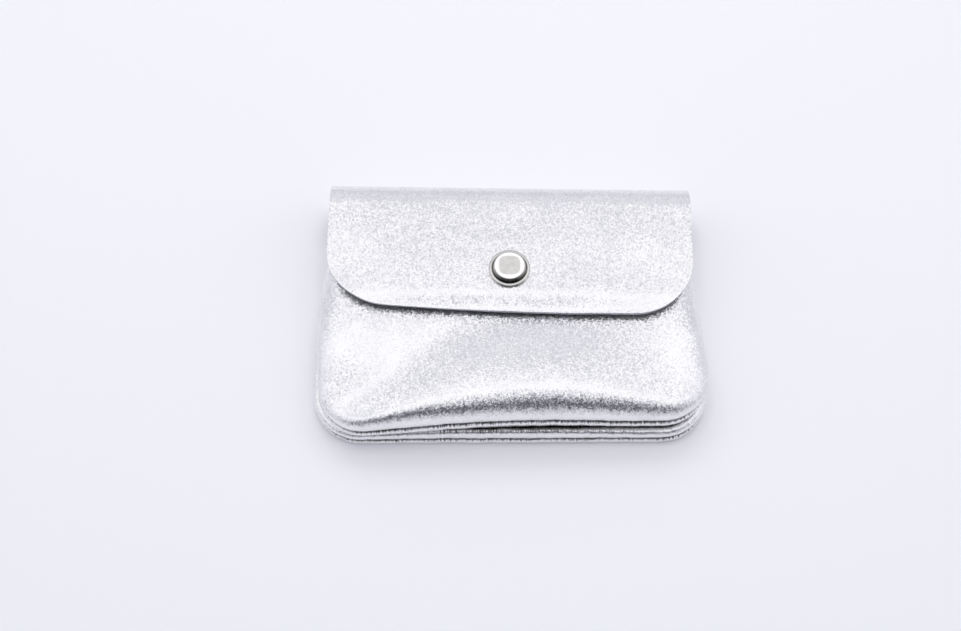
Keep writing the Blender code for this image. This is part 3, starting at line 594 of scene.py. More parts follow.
def inward_from(points):
    """Directions into the pocket at the points of its outline."""
    found = []
    for i in range(len(points)):
        before = points[max(0, i - 1)]
        after = points[min(len(points) - 1, i + 1)]
        along = (after - before).normalized()
        found.append(Vector((-along.y, along.x)))
    return found


def middle_of_bottom(pocket, x, y):
    """1 at the middle of the bottom edge, falling to 0 at the corners and along the sides."""
    return middle_share(x, pocket.half - CORNER_RADIUS) * pocket.low_share(y)


def front_seam_lift(x, y):
    return FRONT_SEAM_LIFT * middle_of_bottom(FRONT_POCKET, x, y)


def divider_height(pocket, edge_z, open_z, x, y):
    deep = pocket.inside(x, y) - MIDDLE_SEAM_INSET
    return edge_z + (open_z - edge_z) * smoothstep(0, MIDDLE_POCKET_SPREAD, deep)


def valley(pocket, x, y):
    """How far a pocket draws back from the other pocket, between its edge and the middle seam."""
    inside = pocket.inside(x, y)
    past = smoothstep(MIDDLE_SEAM_INSET, MIDDLE_SEAM_INSET + MIDDLE_POCKET_SPREAD, inside)
    return VALLEY_DEPTH * smoothstep(DIVIDER_ROLL, MIDDLE_SEAM_INSET, inside) * (1 - past)


def rear_divider_height(x, y):
    height = divider_height(REAR_POCKET, REAR_DIVIDER_EDGE_Z, REAR_DIVIDER_Z, x, y)
    crest = REAR_EDGE_CREST + REAR_MIDDLE_CREST * middle_of_bottom(REAR_POCKET, x, y)
    past_crest = smoothstep(REAR_DIVIDER_ROLL, 2 * DIVIDER_ROLL, REAR_POCKET.inside(x, y))
    return height + crest * (1 - past_crest) - valley(REAR_POCKET, x, y)


def front_divider_height(x, y):
    height = divider_height(FRONT_POCKET, FRONT_DIVIDER_EDGE_Z, FRONT_DIVIDER_Z, x, y)
    return height + valley(FRONT_POCKET, x, y)


def bottom_roll(x):
    """How far inside the front pocket's bottom edge its front has risen to its full height."""
    swelling = middle_share(x - BULGE_SHIFT, FRONT_POCKET.half)
    return FRONT_CORNER_ROLL + (FRONT_BOTTOM_ROLL - FRONT_CORNER_ROLL) * swelling


def front_roll(x, y):
    return SIDE_ROLL + (bottom_roll(x) - SIDE_ROLL) * FRONT_POCKET.low_share(y)


def front_height(x, y):
    """Height of the front: swollen past its roll, and low at its corners and the stud."""
    past_crest = y - (FRONT_POCKET.bottom_y + bottom_roll(x) + BULGE_PAST_ROLL)
    on_left = x < BULGE_SHIFT
    swelling = middle_share(x - BULGE_SHIFT, BULGE_REACHES[0 if on_left else 1])
    length = BULGE_LENGTH * (swelling if on_left else 1)
    bulge = FRONT_BULGE * swelling * (1 - smoothstep(0, length, past_crest))
    bulge -= FRONT_SIDE_SINK * (1 - swelling) * (1 - smoothstep(0, BULGE_LENGTH, past_crest))
    from_seat = max(abs(x), abs(y - STUD_Y)) - STUD_SEAT
    flat = 1 - smoothstep(0, STUD_DIMPLE_SPREAD, from_seat)
    slack = SLACK_HEIGHT * drift(FRONT_SLACK_SEED, SLACK_LENGTH, x, y) * (1 - flat)
    return FRONT_Z + bulge - STUD_DIMPLE * flat + slack


def settled(x, y, z, pocket):
    """Where a point of the pockets lies.

    The seams wander and pucker, the left corner is pressed flatter, and the lower half leans.
    """
    fade = 1 - smoothstep(0, PUCKER_REACH, pocket.inside(x, y))
    pull = PUCKER_DEPTH * drift(pocket.seed + PUCKER_SEED, PUCKER_LENGTH, x, y) * fade
    middle = Vector((x, y)) - Vector((0, STUD_Y))
    x += middle.normalized().x * pull
    y += middle.normalized().y * pull
    z += SEAM_WANDER * drift(pocket.seed + WANDER_SEED, SEAM_WANDER_LENGTH, x, y) * fade
    reach = (Vector((x, y)) - PRESS_PLACE).length / PRESS_REACH
    z *= 1 - PRESS_SHARE * math.exp(-reach * reach)
    angle = pocket.lean * smoothstep(STUD_Y - STUD_SEAT, BOTTOM_Y + CORNER_RADIUS, y)
    low = y - STUD_Y
    return (
        x * math.cos(angle) - low * math.sin(angle),
        STUD_Y + x * math.sin(angle) + low * math.cos(angle),
        max(z, BACK_Z),
    )


def turned_edge(point, inward, height, lip_z, roll):
    """Section through a turned edge: seam lip, round turn, and an arc that meets the face."""
    start = point + inward * roll
    beyond = start + inward * SLOPE_STEP
    face_z = height(start.x, start.y)
    slope = (height(beyond.x, beyond.y) - face_z) / SLOPE_STEP
    side = 1 if face_z > lip_z else -1
    edge_z = lip_z + side * TURN_RADIUS
    section = [(TURN_RADIUS + SEAM_LIP, lip_z), (TURN_RADIUS + SEAM_LIP / 2, lip_z)]
    for step in range(TURN_STEPS):
        angle = math.pi / 2 * (1 - step / TURN_STEPS)
        depth = TURN_RADIUS * (1 - math.cos(angle))
        section.append((depth, edge_z - side * TURN_RADIUS * math.sin(angle)))
    share = min(STEEPEST_SHARE, max(0, slope * roll / (face_z - edge_z)))
    last = math.acos(share / (1 - share))
    for step in range(ROLL_STEPS + 1):
        angle = last * step / ROLL_STEPS
        depth = roll * (1 - math.cos(angle)) / (1 - math.cos(last))
        section.append((depth, edge_z + (face_z - edge_z) * math.sin(angle) / math.sin(last)))
    return [(*(point + inward * depth), z) for depth, z in section]


def quads_between(rows):
    """Quads that join each row of point numbers to the next."""
    return [
        (one[k], one[k + 1], other[k + 1], other[k])
        for one, other in zip(rows, rows[1:])
        for k in range(len(one) - 1)
    ]


def panel_grid(inner, points, height):
    """Rows of point numbers that fill a panel inside its turned edges."""
    rows = SIDE_ROWS + CORNER_ROWS
    bottom = inner[rows : rows + COLUMNS + 1]
    level_y = points[inner[SIDE_ROWS]][1]
    grid = []
    for row in range(rows):
        _, row_y, _ = points[inner[row]]
        half = points[inner[-1 - row]][0]
        even = max(0, (row - SIDE_ROWS) / CORNER_ROWS)
        line = [inner[row]]
        for column in range(1, COLUMNS):
            x = half * across(column, COLUMNS)
            y = row_y
            if even:
                within = min(1, min(column, COLUMNS - column) / EVEN_COLUMNS)
                share = math.sin(math.pi / 2 * even) * (1 - within) + even * within
                bottom_x, bottom_y, _ = points[bottom[column]]
                even_x = points[bottom[-1]][0] * across(column, COLUMNS)
                x += (bottom_x - even_x) * share
                y = level_y + (bottom_y - level_y) * share
            line.append(len(points))
            points.append((x, y, height(x, y)))
        grid.append(line + [inner[-1 - row]])
    return grid + [bottom]


def turned_panel(pocket, height, lip_height, roll_at, valley_shade=0):
    """Points and quads of a panel with its edges turned into the seam on three sides.

    For each point it also gives three values for the material: the share of painted shade in
    the grooves and valleys, the way along the seam, and the nearness of the seam.
    """
    outline = pocket.outline()
    points, sections = [], []
    for point, direction in zip(outline, inward_from(outline)):
        lip_z = lip_height(point.x, point.y)
        section = turned_edge(point, direction, height, lip_z, roll_at(point.x, point.y))
        sections.append(range(len(points), len(points) + len(section)))
        points += section
    grid = panel_grid([section[-1] for section in sections], points, height)
    quads = quads_between(sections) + quads_between(grid)
    shares = []
    for x, y, _ in points:
        inside = pocket.inside(x, y)
        # Painted shade on the shelf of the valley between the pockets
        dark = valley_shade * smoothstep(*VALLEY_SHADE_SPAN, inside) * middle_of_bottom(pocket, x, y)
        shares.append((dark, x, 1 - smoothstep(0, CREASE_REACH, inside)))
    along = 0.0
    last = outline[0]
    for section, point in zip(sections, outline):
        along += (point - last).length
        last = point
        for number, place in enumerate(section):
            dark, _, near = shares[place]
            # Painted shade on the seam lip and round the turn, partly the dark unfoiled leather
            # there
            if number < len(SEAM_GROOVE_SHADE_SHARES):
                dark = SEAM_GROOVE_SHADE_SHARES[number]
            shares[place] = (dark, along, near)
    return [settled(*point, pocket) for point in points], quads, shares, grid[0]


# Sheets of leather


def leather_piece(name, points, quads, shares, finishes, foil_up, number=-1, hole=None):
    """A sheet with the leather's thickness: foil outside, flesh inside, raw at its cut edges.

    foil_up tells whether the foil faces up at the quad with the number.
    """
    mesh = bpy.data.meshes.new(name)
    mesh.from_pydata(points, [], quads)
    seam = mesh.attributes.new("seam", "FLOAT_VECTOR", "POINT")
    seam.data.foreach_set("vector", [value for point in shares for value in point])
    edit = bmesh.new()
    edit.from_mesh(mesh)
    bmesh.ops.recalc_face_normals(edit, faces=edit.faces)
    edit.faces.ensure_lookup_table()
    if (edit.faces[number].normal.z > 0) != foil_up:
        bmesh.ops.reverse_faces(edit, faces=edit.faces)
    edit.to_mesh(mesh)
    edit.free()
    piece = linked(name, mesh)
    for finish in finishes:
        mesh.materials.append(finish)
    solid = piece.modifiers.new("leather", "SOLIDIFY")
    solid.thickness = LEATHER
    solid.offset = 0
    solid.use_quality_normals = True
    solid.material_offset = FLESH_SLOT
    solid.material_offset_rim = CUT_SLOT
    if hole:
        cut_hole(piece, *hole)
    soften = piece.modifiers.new("cut edges", "BEVEL")
    soften.width = EDGE_BEVEL
    soften.segments = 2
    soften.limit_method = "ANGLE"
    soften.angle_limit = math.radians(BEVEL_FROM_DEG)
    apply_modifiers(piece)
    piece.data.shade_smooth()
    piece.data.set_sharp_from_angle(angle=math.radians(LEATHER_SHARP_FROM_DEG))
    return piece


def apply_modifiers(piece):
    """Leaves the piece with its finished mesh and no modifiers."""
    shown = piece.evaluated_get(bpy.context.evaluated_depsgraph_get())
    mesh = bpy.data.meshes.new_from_object(shown)
    piece.modifiers.clear()
    piece.data = mesh


def cut_hole(piece, radius, centre):
    """Cuts an upright round hole, for the cap's shank or the rivet's post."""
    mesh = bpy.data.meshes.new(piece.name + "_hole")
    edit = bmesh.new()
    bmesh.ops.create_cone(
        edit, cap_ends=True, segments=ROUND_STEPS // 2, radius1=radius, radius2=radius,
        depth=POCKET_GAP,
    )
    edit.to_mesh(mesh)
    edit.free()
    for finish in piece.data.materials:
        mesh.materials.append(finish)
    for face in mesh.polygons:
        face.material_index = CUT_SLOT
    cutter = linked(mesh.name, mesh)
    cutter.location = centre
    modifier = piece.modifiers.new("hole", "BOOLEAN")
    modifier.operation = "DIFFERENCE"
    modifier.object = cutter
    bpy.context.view_layer.update()
    apply_modifiers(piece)
    bpy.data.objects.remove(cutter, do_unlink=True)


def make_front_panel(finishes):
    points, quads, shares, _ = turned_panel(
        FRONT_FACE,
        front_height,
        lambda x, y: FRONT_LIP_Z + SEAM_SPREAD + front_seam_lift(x, y),
        front_roll,
    )
    hole = (POST_RADIUS + SHANK_CLEARANCE, (0, STUD_Y, front_height(0, STUD_Y)))
    piece = leather_piece("front_leather", points, quads, shares, finishes, True, hole=hole)
    finish_piece(piece, "purse", "silver_leather", "front_panel")


def make_dividers(finishes):
    for name, node, pocket, height, lip_height, roll, up in (
        ("front_pocket_rear_wall", "front_divider", FRONT_POCKET, front_divider_height,
         lambda x, y: FRONT_DIVIDER_LIP_Z - SEAM_SPREAD + front_seam_lift(x, y),
         DIVIDER_ROLL, False),
        ("rear_pocket_front_wall", "rear_divider", REAR_POCKET, rear_divider_height,
         lambda x, y: REAR_DIVIDER_LIP_Z + SEAM_SPREAD, REAR_DIVIDER_ROLL, True),
    ):
        # Both dividers take painted shade in their valleys
        points, quads, shares, _ = turned_panel(
            pocket, height, lip_height, lambda x, y, roll=roll: roll, valley_shade=1
        )
        piece = leather_piece(name, points, quads, shares, finishes, up)
        finish_piece(piece, "purse", "silver_leather", node)


def finish_piece(piece, body, slot, *nodes):
    """Lets a piece ride on a body, and hides the nodes that it stands for. slot, the name of its
    finish, is not used.
    """
    if body:
        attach(piece, body)
    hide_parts(*nodes)
    return piece


def arc_points(centre, radius, start, stop, steps=ARC_STEPS, rise=None):
    """Points on an arc from one angle to another, in degrees. A rise makes it elliptical."""
    points = []
    for step in range(steps + 1):
        angle = math.radians(start + (stop - start) * step / steps)
        up = (rise or radius) * math.sin(angle)
        points.append((centre[0] + radius * math.cos(angle), centre[1] + up))
    return points


def level_row(y, z, columns):
    return [(FLAP_WIDTH / 2 * across(column, columns), y, z) for column in range(columns + 1)]


def make_back(finishes):
    """The back with its edges turned up, and the lower half of the fold."""
    points, quads, shares, top = turned_panel(
        REAR_POCKET, lambda x, y: BACK_Z, lambda x, y: BACK_LIP_Z, lambda x, y: DIVIDER_ROLL
    )
    flat_quad = len(quads) - 1
    start_y = DIVIDER_MOUTH_Y + SEAM_END_NOTCH
    stations = [(start_y, BACK_Z)]
    stations += arc_points(LOWER_CENTRE.yz, LOWER_BEND, -90, 0, BEND_STEPS)
    stations += [
        (FOLD_MIDDLE_Y, LOWER_CENTRE.z + (STRIP_MIDDLE_Z - LOWER_CENTRE.z) * step / RISE_STEPS)
        for step in range(1, RISE_STEPS + 1)
    ]
    below = top
    for y, z in stations:
        line = range(len(points), len(points) + COLUMNS + 1)
        points += level_row(y, z, COLUMNS)
        for column in range(COLUMNS):
            quads.append((below[column], line[column], line[column + 1], below[column + 1]))
        below = line
    shares += [(0, 0, 0)] * (len(points) - len(shares))
    piece = leather_piece("back_leather", points, quads, shares, finishes, False, flat_quad)
    finish_piece(piece, None, "silver_leather", "back_panel", "fold_strip")
    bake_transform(piece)


def flap_edge_y(x):
    share = x / (FLAP_WIDTH / 2)
    edge = FOLD_BACK_Y - FLAP_REACH + FLAP_EDGE_BOW * share * share
    return edge - FLAP_EDGE_SLANT * share + CUT_WANDER * drift(CUT_SEED, CUT_WANDER_LENGTH, x)


def flap_height(x, y):
    """Height of the flap: level at the fold, highest at the stud, drooping at its sides."""
    start_y = UPPER_CENTRE.y
    edge_y = FOLD_BACK_Y - FLAP_REACH
    lift = FLAP_STUD_Z - FOLD_TOP_Z
    from_seat = max(0, abs(y - STUD_Y) - STUD_SEAT)
    if y > STUD_Y:
        share = from_seat / (start_y - STUD_Y - STUD_SEAT)
        tent = lift * (1 - share * share)
    else:
        share = from_seat / (STUD_Y - STUD_SEAT - edge_y)
        tent = lift - (lift - FLAP_EDGE_LIFT) * smoothstep(0, 1, share)
    down = smoothstep(0, start_y - edge_y, start_y - y)
    aside = max(0, abs(x) - STUD_SEAT) / (FLAP_WIDTH / 2 - STUD_SEAT)
    away = smoothstep(STUD_SEAT, 2 * STUD_SEAT, (Vector((x, y)) - Vector((0, STUD_Y))).length)
    slack = SLACK_HEIGHT * drift(FLAP_SLACK_SEED, SLACK_LENGTH, x, y) * away
    slack *= smoothstep(0, UPPER_BEND, start_y - y)
    return FOLD_TOP_Z + tent * (1 - aside**2) - FLAP_SIDE_DROOP * aside**3 * down + slack


def flap_rows():
    """Shares of the flap's way from the fold to its edge, and the half width at each."""
    straight = UPPER_CENTRE.y - (FOLD_BACK_Y - FLAP_REACH) - FLAP_CORNER
    rows = []
    for row in range(1, FLAP_ROWS + 1):
        rows.append((straight * row / FLAP_ROWS, FLAP_WIDTH / 2))
    for row in range(1, FLAP_CORNER_ROWS + 1):
        angle = math.pi / 2 * row / FLAP_CORNER_ROWS
        half = FLAP_WIDTH / 2 - FLAP_CORNER * (1 - math.cos(angle))
        rows.append((straight + FLAP_CORNER * math.sin(angle), half))
    whole = straight + FLAP_CORNER
    return [(along / whole, half) for along, half in rows]


def make_flap(finishes):
    """The upper half of the fold, and the flap."""
    points = []
    section = [
        (FOLD_MIDDLE_Y, STRIP_MIDDLE_Z + (UPPER_CENTRE.z - STRIP_MIDDLE_Z) * step / RISE_STEPS)
        for step in range(RISE_STEPS)
    ]
    section += arc_points(UPPER_CENTRE.yz, UPPER_BEND, 0, 90, BEND_STEPS)
    for y, z in section:
        points += level_row(y, z, FLAP_COLUMNS)
    start_y = UPPER_CENTRE.y
    for along, half in flap_rows():
        for column in range(FLAP_COLUMNS + 1):
            x = half * across(column, FLAP_COLUMNS)
            y = start_y + (flap_edge_y(x) - start_y) * along
            points.append((x, y, flap_height(x, y)))
    wide = FLAP_COLUMNS + 1
    quads = quads_between([range(at, at + wide) for at in range(0, len(points), wide)])
    hole = (SHANK_RADIUS + SHANK_CLEARANCE, (0, STUD_Y, FLAP_STUD_Z))
    shares = [(0, 0, 0)] * len(points)
    piece = leather_piece("flap_leather", points, quads, shares, finishes, True, hole=hole)
    finish_piece(piece, None, "silver_leather", "flap")
    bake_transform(piece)


# Press stud


def turned_piece(name, profile, base_z, finish, body, node):
    """A piece turned about the stud's axis, from a profile of (radius, height) points.

    A profile runs from the axis to the axis, or else it is a closed ring off the axis.
    """
    mesh = bpy.data.meshes.new(name)
    edit = bmesh.new()
    ring = [edit.verts.new((radius, 0, height)) for radius, height in profile]
    edges = [edit.edges.new((a, b)) for a, b in zip(ring, ring[1:])]
    if profile[0][0] > 0:
        edges.append(edit.edges.new((ring[-1], ring[0])))
    bmesh.ops.spin(
        edit, geom=ring + edges, cent=(0, 0, 0), axis=(0, 0, 1), angle=2 * math.pi,
        steps=ROUND_STEPS, use_merge=True,
    )
    bmesh.ops.remove_doubles(edit, verts=edit.verts, dist=MERGE_DISTANCE)
    bmesh.ops.dissolve_degenerate(edit, edges=edit.edges, dist=MERGE_DISTANCE)
    bmesh.ops.recalc_face_normals(edit, faces=edit.faces)
    bmesh.ops.translate(edit, verts=edit.verts, vec=(0, STUD_Y, base_z))
    edit.to_mesh(mesh)
    edit.free()
    mesh.materials.append(finish)
    mesh.shade_smooth()
    mesh.set_sharp_from_angle(angle=math.radians(METAL_SHARP_FROM_DEG))
    return finish_piece(linked(name, mesh), body, "nickel", node)


def cap_painted_light(point):
    """1 for the painted highlight ring round the cap's near-square middle, down to -1 for the
    painted shade on its wall, strongest at its front.
    """
    x, y = abs(point.x), abs(point.y - STUD_Y)
    radius = math.hypot(x, y)
    from_middle = (x**CAP_SQUARENESS + y**CAP_SQUARENESS) ** (1 / CAP_SQUARENESS)
    outside = smoothstep(CAP_CENTRE - CAP_SOFTENING, CAP_CENTRE + CAP_SOFTENING, from_middle)
    past = smoothstep(CAP_RING_END - CAP_SOFTENING / 2, CAP_RING_END + CAP_SOFTENING / 2, radius)
    wall = smoothstep(CAP_RING_END, CAP_CROWN_RADIUS - CAP_WALL_SLOPE, radius)
    brim = smoothstep(CAP_CROWN_RADIUS, CAP_CROWN_RADIUS + CAP_BRIM_GROOVE, radius)
    to_front = smoothstep(0, CAP_CROWN_RADIUS, STUD_Y - point.y)
    shade = CAP_SIDE_SHADE + (1 - CAP_SIDE_SHADE) * to_front
    return outside * (1 - past) - wall * (1 - brim) * shade


def make_cap(nickel):
    shank_end = -LEATHER - TOUCH_GAP
    rim = CAP_RIM_HEIGHT / 2
    profile = [(0, 0), (SHANK_BORE, 0), (SHANK_BORE, shank_end), (SHANK_RADIUS, shank_end)]
    profile += [(SHANK_RADIUS, 0), (CAP_RADIUS - rim, 0)]
    profile += arc_points((CAP_RADIUS - rim, rim), rim, CAP_RIM_FROM_DEG, 90)
    profile.append((CAP_CROWN_RADIUS + CAP_BRIM_GROOVE, CAP_RIM_HEIGHT))
    profile.append((CAP_CROWN_RADIUS, CAP_RIM_HEIGHT - CAP_BRIM_GROOVE))
    crown = (
        CAP_CROWN_RADIUS - CAP_WALL_SLOPE - CAP_EDGE_ROUND,
        CAP_CROWN_HEIGHT - CAP_EDGE_ROUND - CAP_DOME_RISE,
    )
    profile += arc_points(crown, CAP_EDGE_ROUND, *CAP_EDGE_ARC_DEG)
    edge_radius, edge_height = profile[-1]
    for step in range(1, 2 * ARC_STEPS + 1):
        share = 1 - step / (2 * ARC_STEPS)
        rise = (CAP_CROWN_HEIGHT - edge_height) * (1 - share * share)
        profile.append((edge_radius * share, edge_height + rise))
    base_z = CAP_HIGH.z - CAP_CROWN_HEIGHT
    cap = turned_piece("snap_cap", profile, base_z, nickel, "flap", "stud_cap")
    # The cap's painted highlight ring and painted wall shade, kept as the point attribute bright
    bright = cap.data.attributes.new("bright", "FLOAT", "POINT")
    bright.data.foreach_set("value", [cap_painted_light(vertex.co) for vertex in cap.data.vertices])


def make_socket(nickel):
    height = SOCKET_HIGH.z - SOCKET_LOW.z
    groove = SOCKET_BORE + SOCKET_GROOVE_DEPTH
    groove_low = -height + SOCKET_LIP
    groove_top = groove_low + SOCKET_GROOVE_HEIGHT
    profile = [
        (SHANK_RADIUS + SHANK_CLEARANCE, 0),
        (SHANK_RADIUS + SHANK_CLEARANCE, -SOCKET_FLOOR),
        (SOCKET_BORE, -SOCKET_FLOOR),
        (SOCKET_BORE, groove_top),
        (groove, groove_top),
        (groove, groove_low),
        (SOCKET_BORE, groove_low),
    ]
    lip = SOCKET_LIP / 2
    profile += arc_points((SOCKET_BORE + lip, -height + lip), lip, 180, 270, ARC_STEPS // 2)
    edge = (SOCKET_RADIUS - SOCKET_CHAMFER, -height + SOCKET_CHAMFER)
    profile += arc_points(edge, SOCKET_CHAMFER, -90, 0, ARC_STEPS // 2)
    profile.append((SOCKET_RADIUS, 0))
    turned_piece("snap_socket", profile, SOCKET_HIGH.z, nickel, "flap", "stud_socket")


def make_spring(finish):
    """One wire in the socket's groove, with two straight bars that grip the stud."""
    radius = SOCKET_BORE + SOCKET_GROOVE_DEPTH - TOUCH_GAP - SPRING_WIRE
    corner = math.degrees(math.asin(SPRING_BAR / radius))
    path = arc_points((0, 0), radius, corner, -corner, 3 * ARC_STEPS)
    half_bar = path[0][0]
    path = [(-half_bar, SPRING_BAR)] + path + [(-half_bar, -SPRING_BAR)]
    z = (SPRING_LOW.z + SPRING_HIGH.z) / 2
    piece = tube("snap_spring", [(x, STUD_Y + y, z) for x, y in path], SPRING_WIRE, finish)
    finish_piece(piece, "flap", "spring_wire", "stud_spring")


def make_stud(nickel):
    top = STUD_BASE_HEIGHT + STUD_HEAD_RISE + STUD_HEAD_ROUND
    widest = STUD_BASE_HEIGHT + STUD_HEAD_RISE
    head = STUD_HEAD_RADIUS - STUD_NECK_RADIUS
    neck_top = widest - head
    hollow_top = POST_DEPTH_IN_STUD + TOUCH_GAP
    brim = STUD_BASE_HEIGHT / 2
    profile = [(0, hollow_top), (STUD_HOLLOW, hollow_top), (STUD_HOLLOW, 0)]
    profile += arc_points((STUD_BASE_RADIUS - brim, brim), brim, -90, 90)
    profile += [(STUD_NECK_RADIUS, STUD_BASE_HEIGHT), (STUD_NECK_RADIUS, neck_top)]
    profile += arc_points((STUD_NECK_RADIUS, widest), head, 0, 90, rise=STUD_HEAD_ROUND)
    profile.append((0, top))
    turned_piece("snap_stud", profile, STUD_LOW.z, nickel, "purse", "stud")


def make_rivet(nickel):
    tip = RIVET_HIGH.z - RIVET_LOW.z
    brim = POST_FLANGE_HEIGHT / 2
    profile = [(0, 0)]
    profile += arc_points((POST_FLANGE_RADIUS - brim, brim), brim, -90, 90)
    profile += [(POST_RADIUS, POST_FLANGE_HEIGHT), (POST_RADIUS, tip), (0, tip)]
    turned_piece("snap_rivet", profile, RIVET_LOW.z, nickel, "purse", "stud_rivet")


# Threads


def tube(name, path, radius, finish):
    curve = bpy.data.curves.new(name, "CURVE")
    curve.dimensions = "3D"
    curve.bevel_depth = radius
    curve.bevel_resolution = 2
    curve.use_fill_caps = True
    spline = curve.splines.new("POLY")
    spline.points.add(len(path) - 1)
    for point, place in zip(spline.points, path):
        point.co = (*place, 1)
    curve.materials.append(finish)
    return linked(name, curve)


def stitch_wave(along):
    """Height of a stitch, -1 to 1: it stays above or below the seam and crosses it quickly."""
    swing = math.sin(2 * math.pi * along / STITCH_LENGTH)
    return max(-1.0, min(1.0, STITCH_STEEPNESS * swing))


def make_thread(name, node, pocket, depth, seam_z, finish):
    """A row of stitches along a pocket's edge, at a depth inside it."""
    outline = pocket.outline()
    path = []
    along = 0.0
    last = outline[0]
    for point, direction in zip(outline, inward_from(outline)):
        span = (point - last).length
        steps = max(1, round(span / (STITCH_LENGTH / STITCH_STEPS)))
        for step in range(steps):
            share = (step + 1) / steps
            spot = last.lerp(point, share) + direction * depth
            z = seam_z(spot.x, spot.y) + STITCH_SWING * stitch_wave(along + span * share)
            path.append(settled(spot.x, spot.y, z, pocket))
        along += span
        last = point
    finish_piece(tube(name, path, THREAD_RADIUS, finish), "purse", "thread", node)


def make_threads(finish):
    rear_z = (BACK_LIP_Z + REAR_DIVIDER_LIP_Z) / 2
    front_z = (FRONT_DIVIDER_LIP_Z + FRONT_LIP_Z) / 2
    for name, node, pocket, depth, seam_z in (
        ("rear_seam_stitches", "rear_seam_thread", REAR_POCKET, THREAD_FROM_EDGE,
         lambda x, y: rear_z),
        ("middle_seam_stitches", "middle_seam_thread", REAR_POCKET, MIDDLE_SEAM_INSET,
         lambda x, y: MIDDLE_SEAM_Z),
        ("front_seam_stitches", "front_seam_thread", FRONT_POCKET, THREAD_FROM_EDGE,
         lambda x, y: front_z + front_seam_lift(x, y)),
    ):
        make_thread(name, node, pocket, depth, seam_z, finish)


# Floor, light and camera, in metres


FLOOR_COLOUR = (0.945, 0.945, 0.975, 1)
BACKGROUND_COLOUR = (0.896, 0.896, 0.965, 1)
FLOOR_HALF = 6.0
FLOOR_SHOWN = 0.12  # share of the floor's shown colour that no shadow takes away
WORLD_COLOUR = (0.62, 0.63, 0.69, 1)
WORLD_ON_MATT = (0.33, 0.34, 0.395, 1)  # what matt surfaces get of it
CARD_COLOUR = (0.07, 0.074, 0.086, 1)
CARD_PLACE = (0, -0.356, 0.29)
CARD_HALF_WIDTH = 0.4
CARD_HALF_HEIGHT = 0.13
WHITE = (1, 1, 1)
LIGHT_TARGET = Vector((0, 0, 0.01))
# Name, place, width and height, brightness, colour, and whether glossy surfaces show it
LIGHTS = (
    ("top_light", (0, 0.19, 0.95), (1.5, 0.84), 0.52, (1, 0.965, 0.925), True),
    ("front_strip", (0.06, -0.05, 0.95), (0.5, 0.16), 0.12, WHITE, True),
    ("back_light", (0, 0.9, 0.5), (1.0, 0.2), 0.5, WHITE, True),
    ("left_light", (-0.9, 0.1, 0.6), (0.8, 0.9), 0.35, WHITE, True),
    ("right_light", (0.9, 0.1, 0.6), (0.8, 0.9), 0.35, WHITE, True),
    ("rear_light", (0, 0.55, 0.8), (0.9, 0.4), 2.0, WHITE, False),
    ("overhead_light", (0, 0.05, 1.0), (0.5, 0.4), 3.45, WHITE, False),
)


def stage_material(name, colour, roughness, gloss):
    made, tree, shader = new_material(name)
    shader.inputs["Base Color"].default_value = colour
    shader.inputs["Roughness"].default_value = roughness
    shader.inputs["Specular IOR Level"].default_value = gloss
    return made, tree, shader


def stage_sheet(name, corners, finish):
    """A flat sheet with four corners."""
    mesh = bpy.data.meshes.new(name)
    mesh.from_pydata(corners, [], [(0, 1, 2, 3)])
    mesh.materials.append(finish)
    return linked(name, mesh)


def make_floor():
    """The floor: it catches shadows, and a share of what is seen of it glows in its colour."""
    made, tree, shader = stage_material("pale_floor", FLOOR_COLOUR, roughness=0.9, gloss=0.2)
    rays = add_node(tree, "LightPath").outputs
    seen = combine(tree, "MAXIMUM", rays["Is Camera Ray"], rays["Is Glossy Ray"])
    seen = combine(tree, "MAXIMUM", seen, rays["Is Transmission Ray"])
    seen = product(tree, seen, FLOOR_SHOWN)
    glow = add_node(tree, "Emission", {"Color": BACKGROUND_COLOUR, "Strength": 1.0})
    inputs = {0: seen, 1: shader.outputs["BSDF"], 2: glow.outputs["Emission"]}
    mix = add_node(tree, "MixShader", inputs)
    tree.links.new(mix.outputs["Shader"], tree.nodes["Material Output"].inputs["Surface"])
    corners = [(-1, -1), (1, -1), (1, 1), (-1, 1)]
    floor = stage_sheet("floor", [(x * FLOOR_HALF, y * FLOOR_HALF, 0) for x, y in corners], made)


def dark_card():
    """The dark side of the room in front, which the rolled edges and the cap reflect."""
    made, _, _ = stage_material("dark_card", CARD_COLOUR, roughness=1.0, gloss=0.0)
    centre = Vector(CARD_PLACE)
    along = Vector((1, 0, 0)) * CARD_HALF_WIDTH
    up = Vector((0, centre.z, -centre.y)).normalized() * CARD_HALF_HEIGHT
    corners = [centre - along - up, centre + along - up, centre + along + up, centre - along + up]
    card = stage_sheet("dark_card", corners, made)
    card.visible_camera = False
    card.visible_diffuse = False
    card.visible_shadow = False


def make_world():
    world = bpy.data.worlds.new("studio")
    bpy.context.scene.world = world
    world.use_nodes = True
    tree = world.node_tree
    rays = add_node(tree, "LightPath").outputs
    colour = mix_colour(tree, rays["Is Glossy Ray"], WORLD_ON_MATT, WORLD_COLOUR)
    colour = mix_colour(tree, rays["Is Camera Ray"], colour, BACKGROUND_COLOUR)
    tree.links.new(colour, tree.nodes["Background"].inputs["Color"])


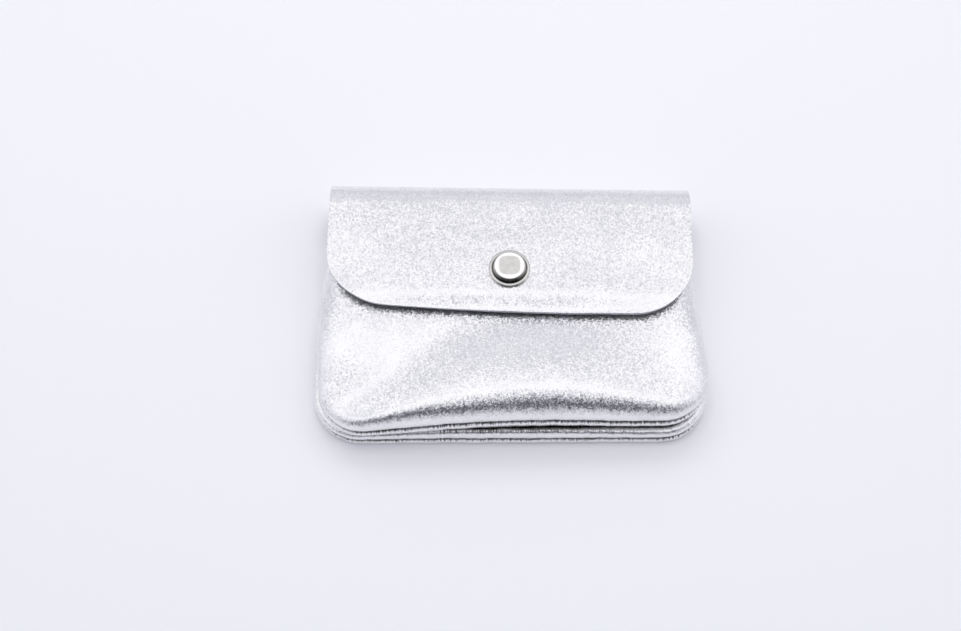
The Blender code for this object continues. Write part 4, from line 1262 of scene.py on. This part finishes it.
def make_lights():
    """Large soft lights that face the object."""
    for name, place, (width, height), brightness, colour, in_gloss in LIGHTS:
        light = bpy.data.lights.new(name, "AREA")
        light.shape = "RECTANGLE"
        light.size = width
        light.size_y = height
        light.energy = brightness * math.pi * width * height
        light.color = colour
        lamp = linked(name, light)
        lamp.location = place
        turn = (LIGHT_TARGET - Vector(place)).to_track_quat("-Z", "Y")
        lamp.rotation_euler = turn.to_euler()
        lamp.visible_camera = False
        lamp.visible_glossy = in_gloss


def make_camera():
    azimuth = math.radians(CAMERA_AZIMUTH)
    elevation = math.radians(CAMERA_ELEVATION)
    back = Vector((
        math.sin(azimuth) * math.cos(elevation),
        -math.cos(azimuth) * math.cos(elevation),
        math.sin(elevation),
    ))
    data = bpy.data.cameras.new("camera")
    data.lens = CAMERA_LENS
    data.clip_start = CAMERA_CLIP
    camera = linked("camera", data)
    camera.location = CAMERA_TARGET + back * CAMERA_DISTANCE
    turn = back.to_track_quat("Z", "Y").to_matrix().to_4x4()
    camera.rotation_euler = turn.to_euler()
    camera.rotation_euler.rotate_axis("Z", math.radians(CAMERA_ROLL))
    bpy.context.scene.camera = camera


def main():
    bpy.context.scene.view_settings.view_transform = "Standard"
    make_camera()
    make_floor()
    dark_card()
    make_world()
    make_lights()
    leather = [foil_leather(), flesh_side(), cut_edge()]
    nickel = polished_metal("nickel_plate", NICKEL, NICKEL_DULL, roughness=(0.05, 0.13))
    wire = polished_metal("spring_wire", WIRE, WIRE_DULL, roughness=(0.18, 0.32))
    # The cap's plating, with its painted highlight and painted shade
    cap_plate = polished_metal(
        "cap_plate", NICKEL, NICKEL_DULL, roughness=(0.1, 0.16), detail=3.0, dulled=(0.3, 0.8),
        depth=0.003 * MM, tint=cap_painted_light_tint,
    )
    make_back(leather)
    make_dividers(leather)
    make_front_panel(leather)
    make_flap(leather)
    make_cap(cap_plate)
    make_socket(nickel)
    make_spring(wire)
    make_stud(nickel)
    make_rivet(nickel)
    make_threads(sewing_thread())


main()
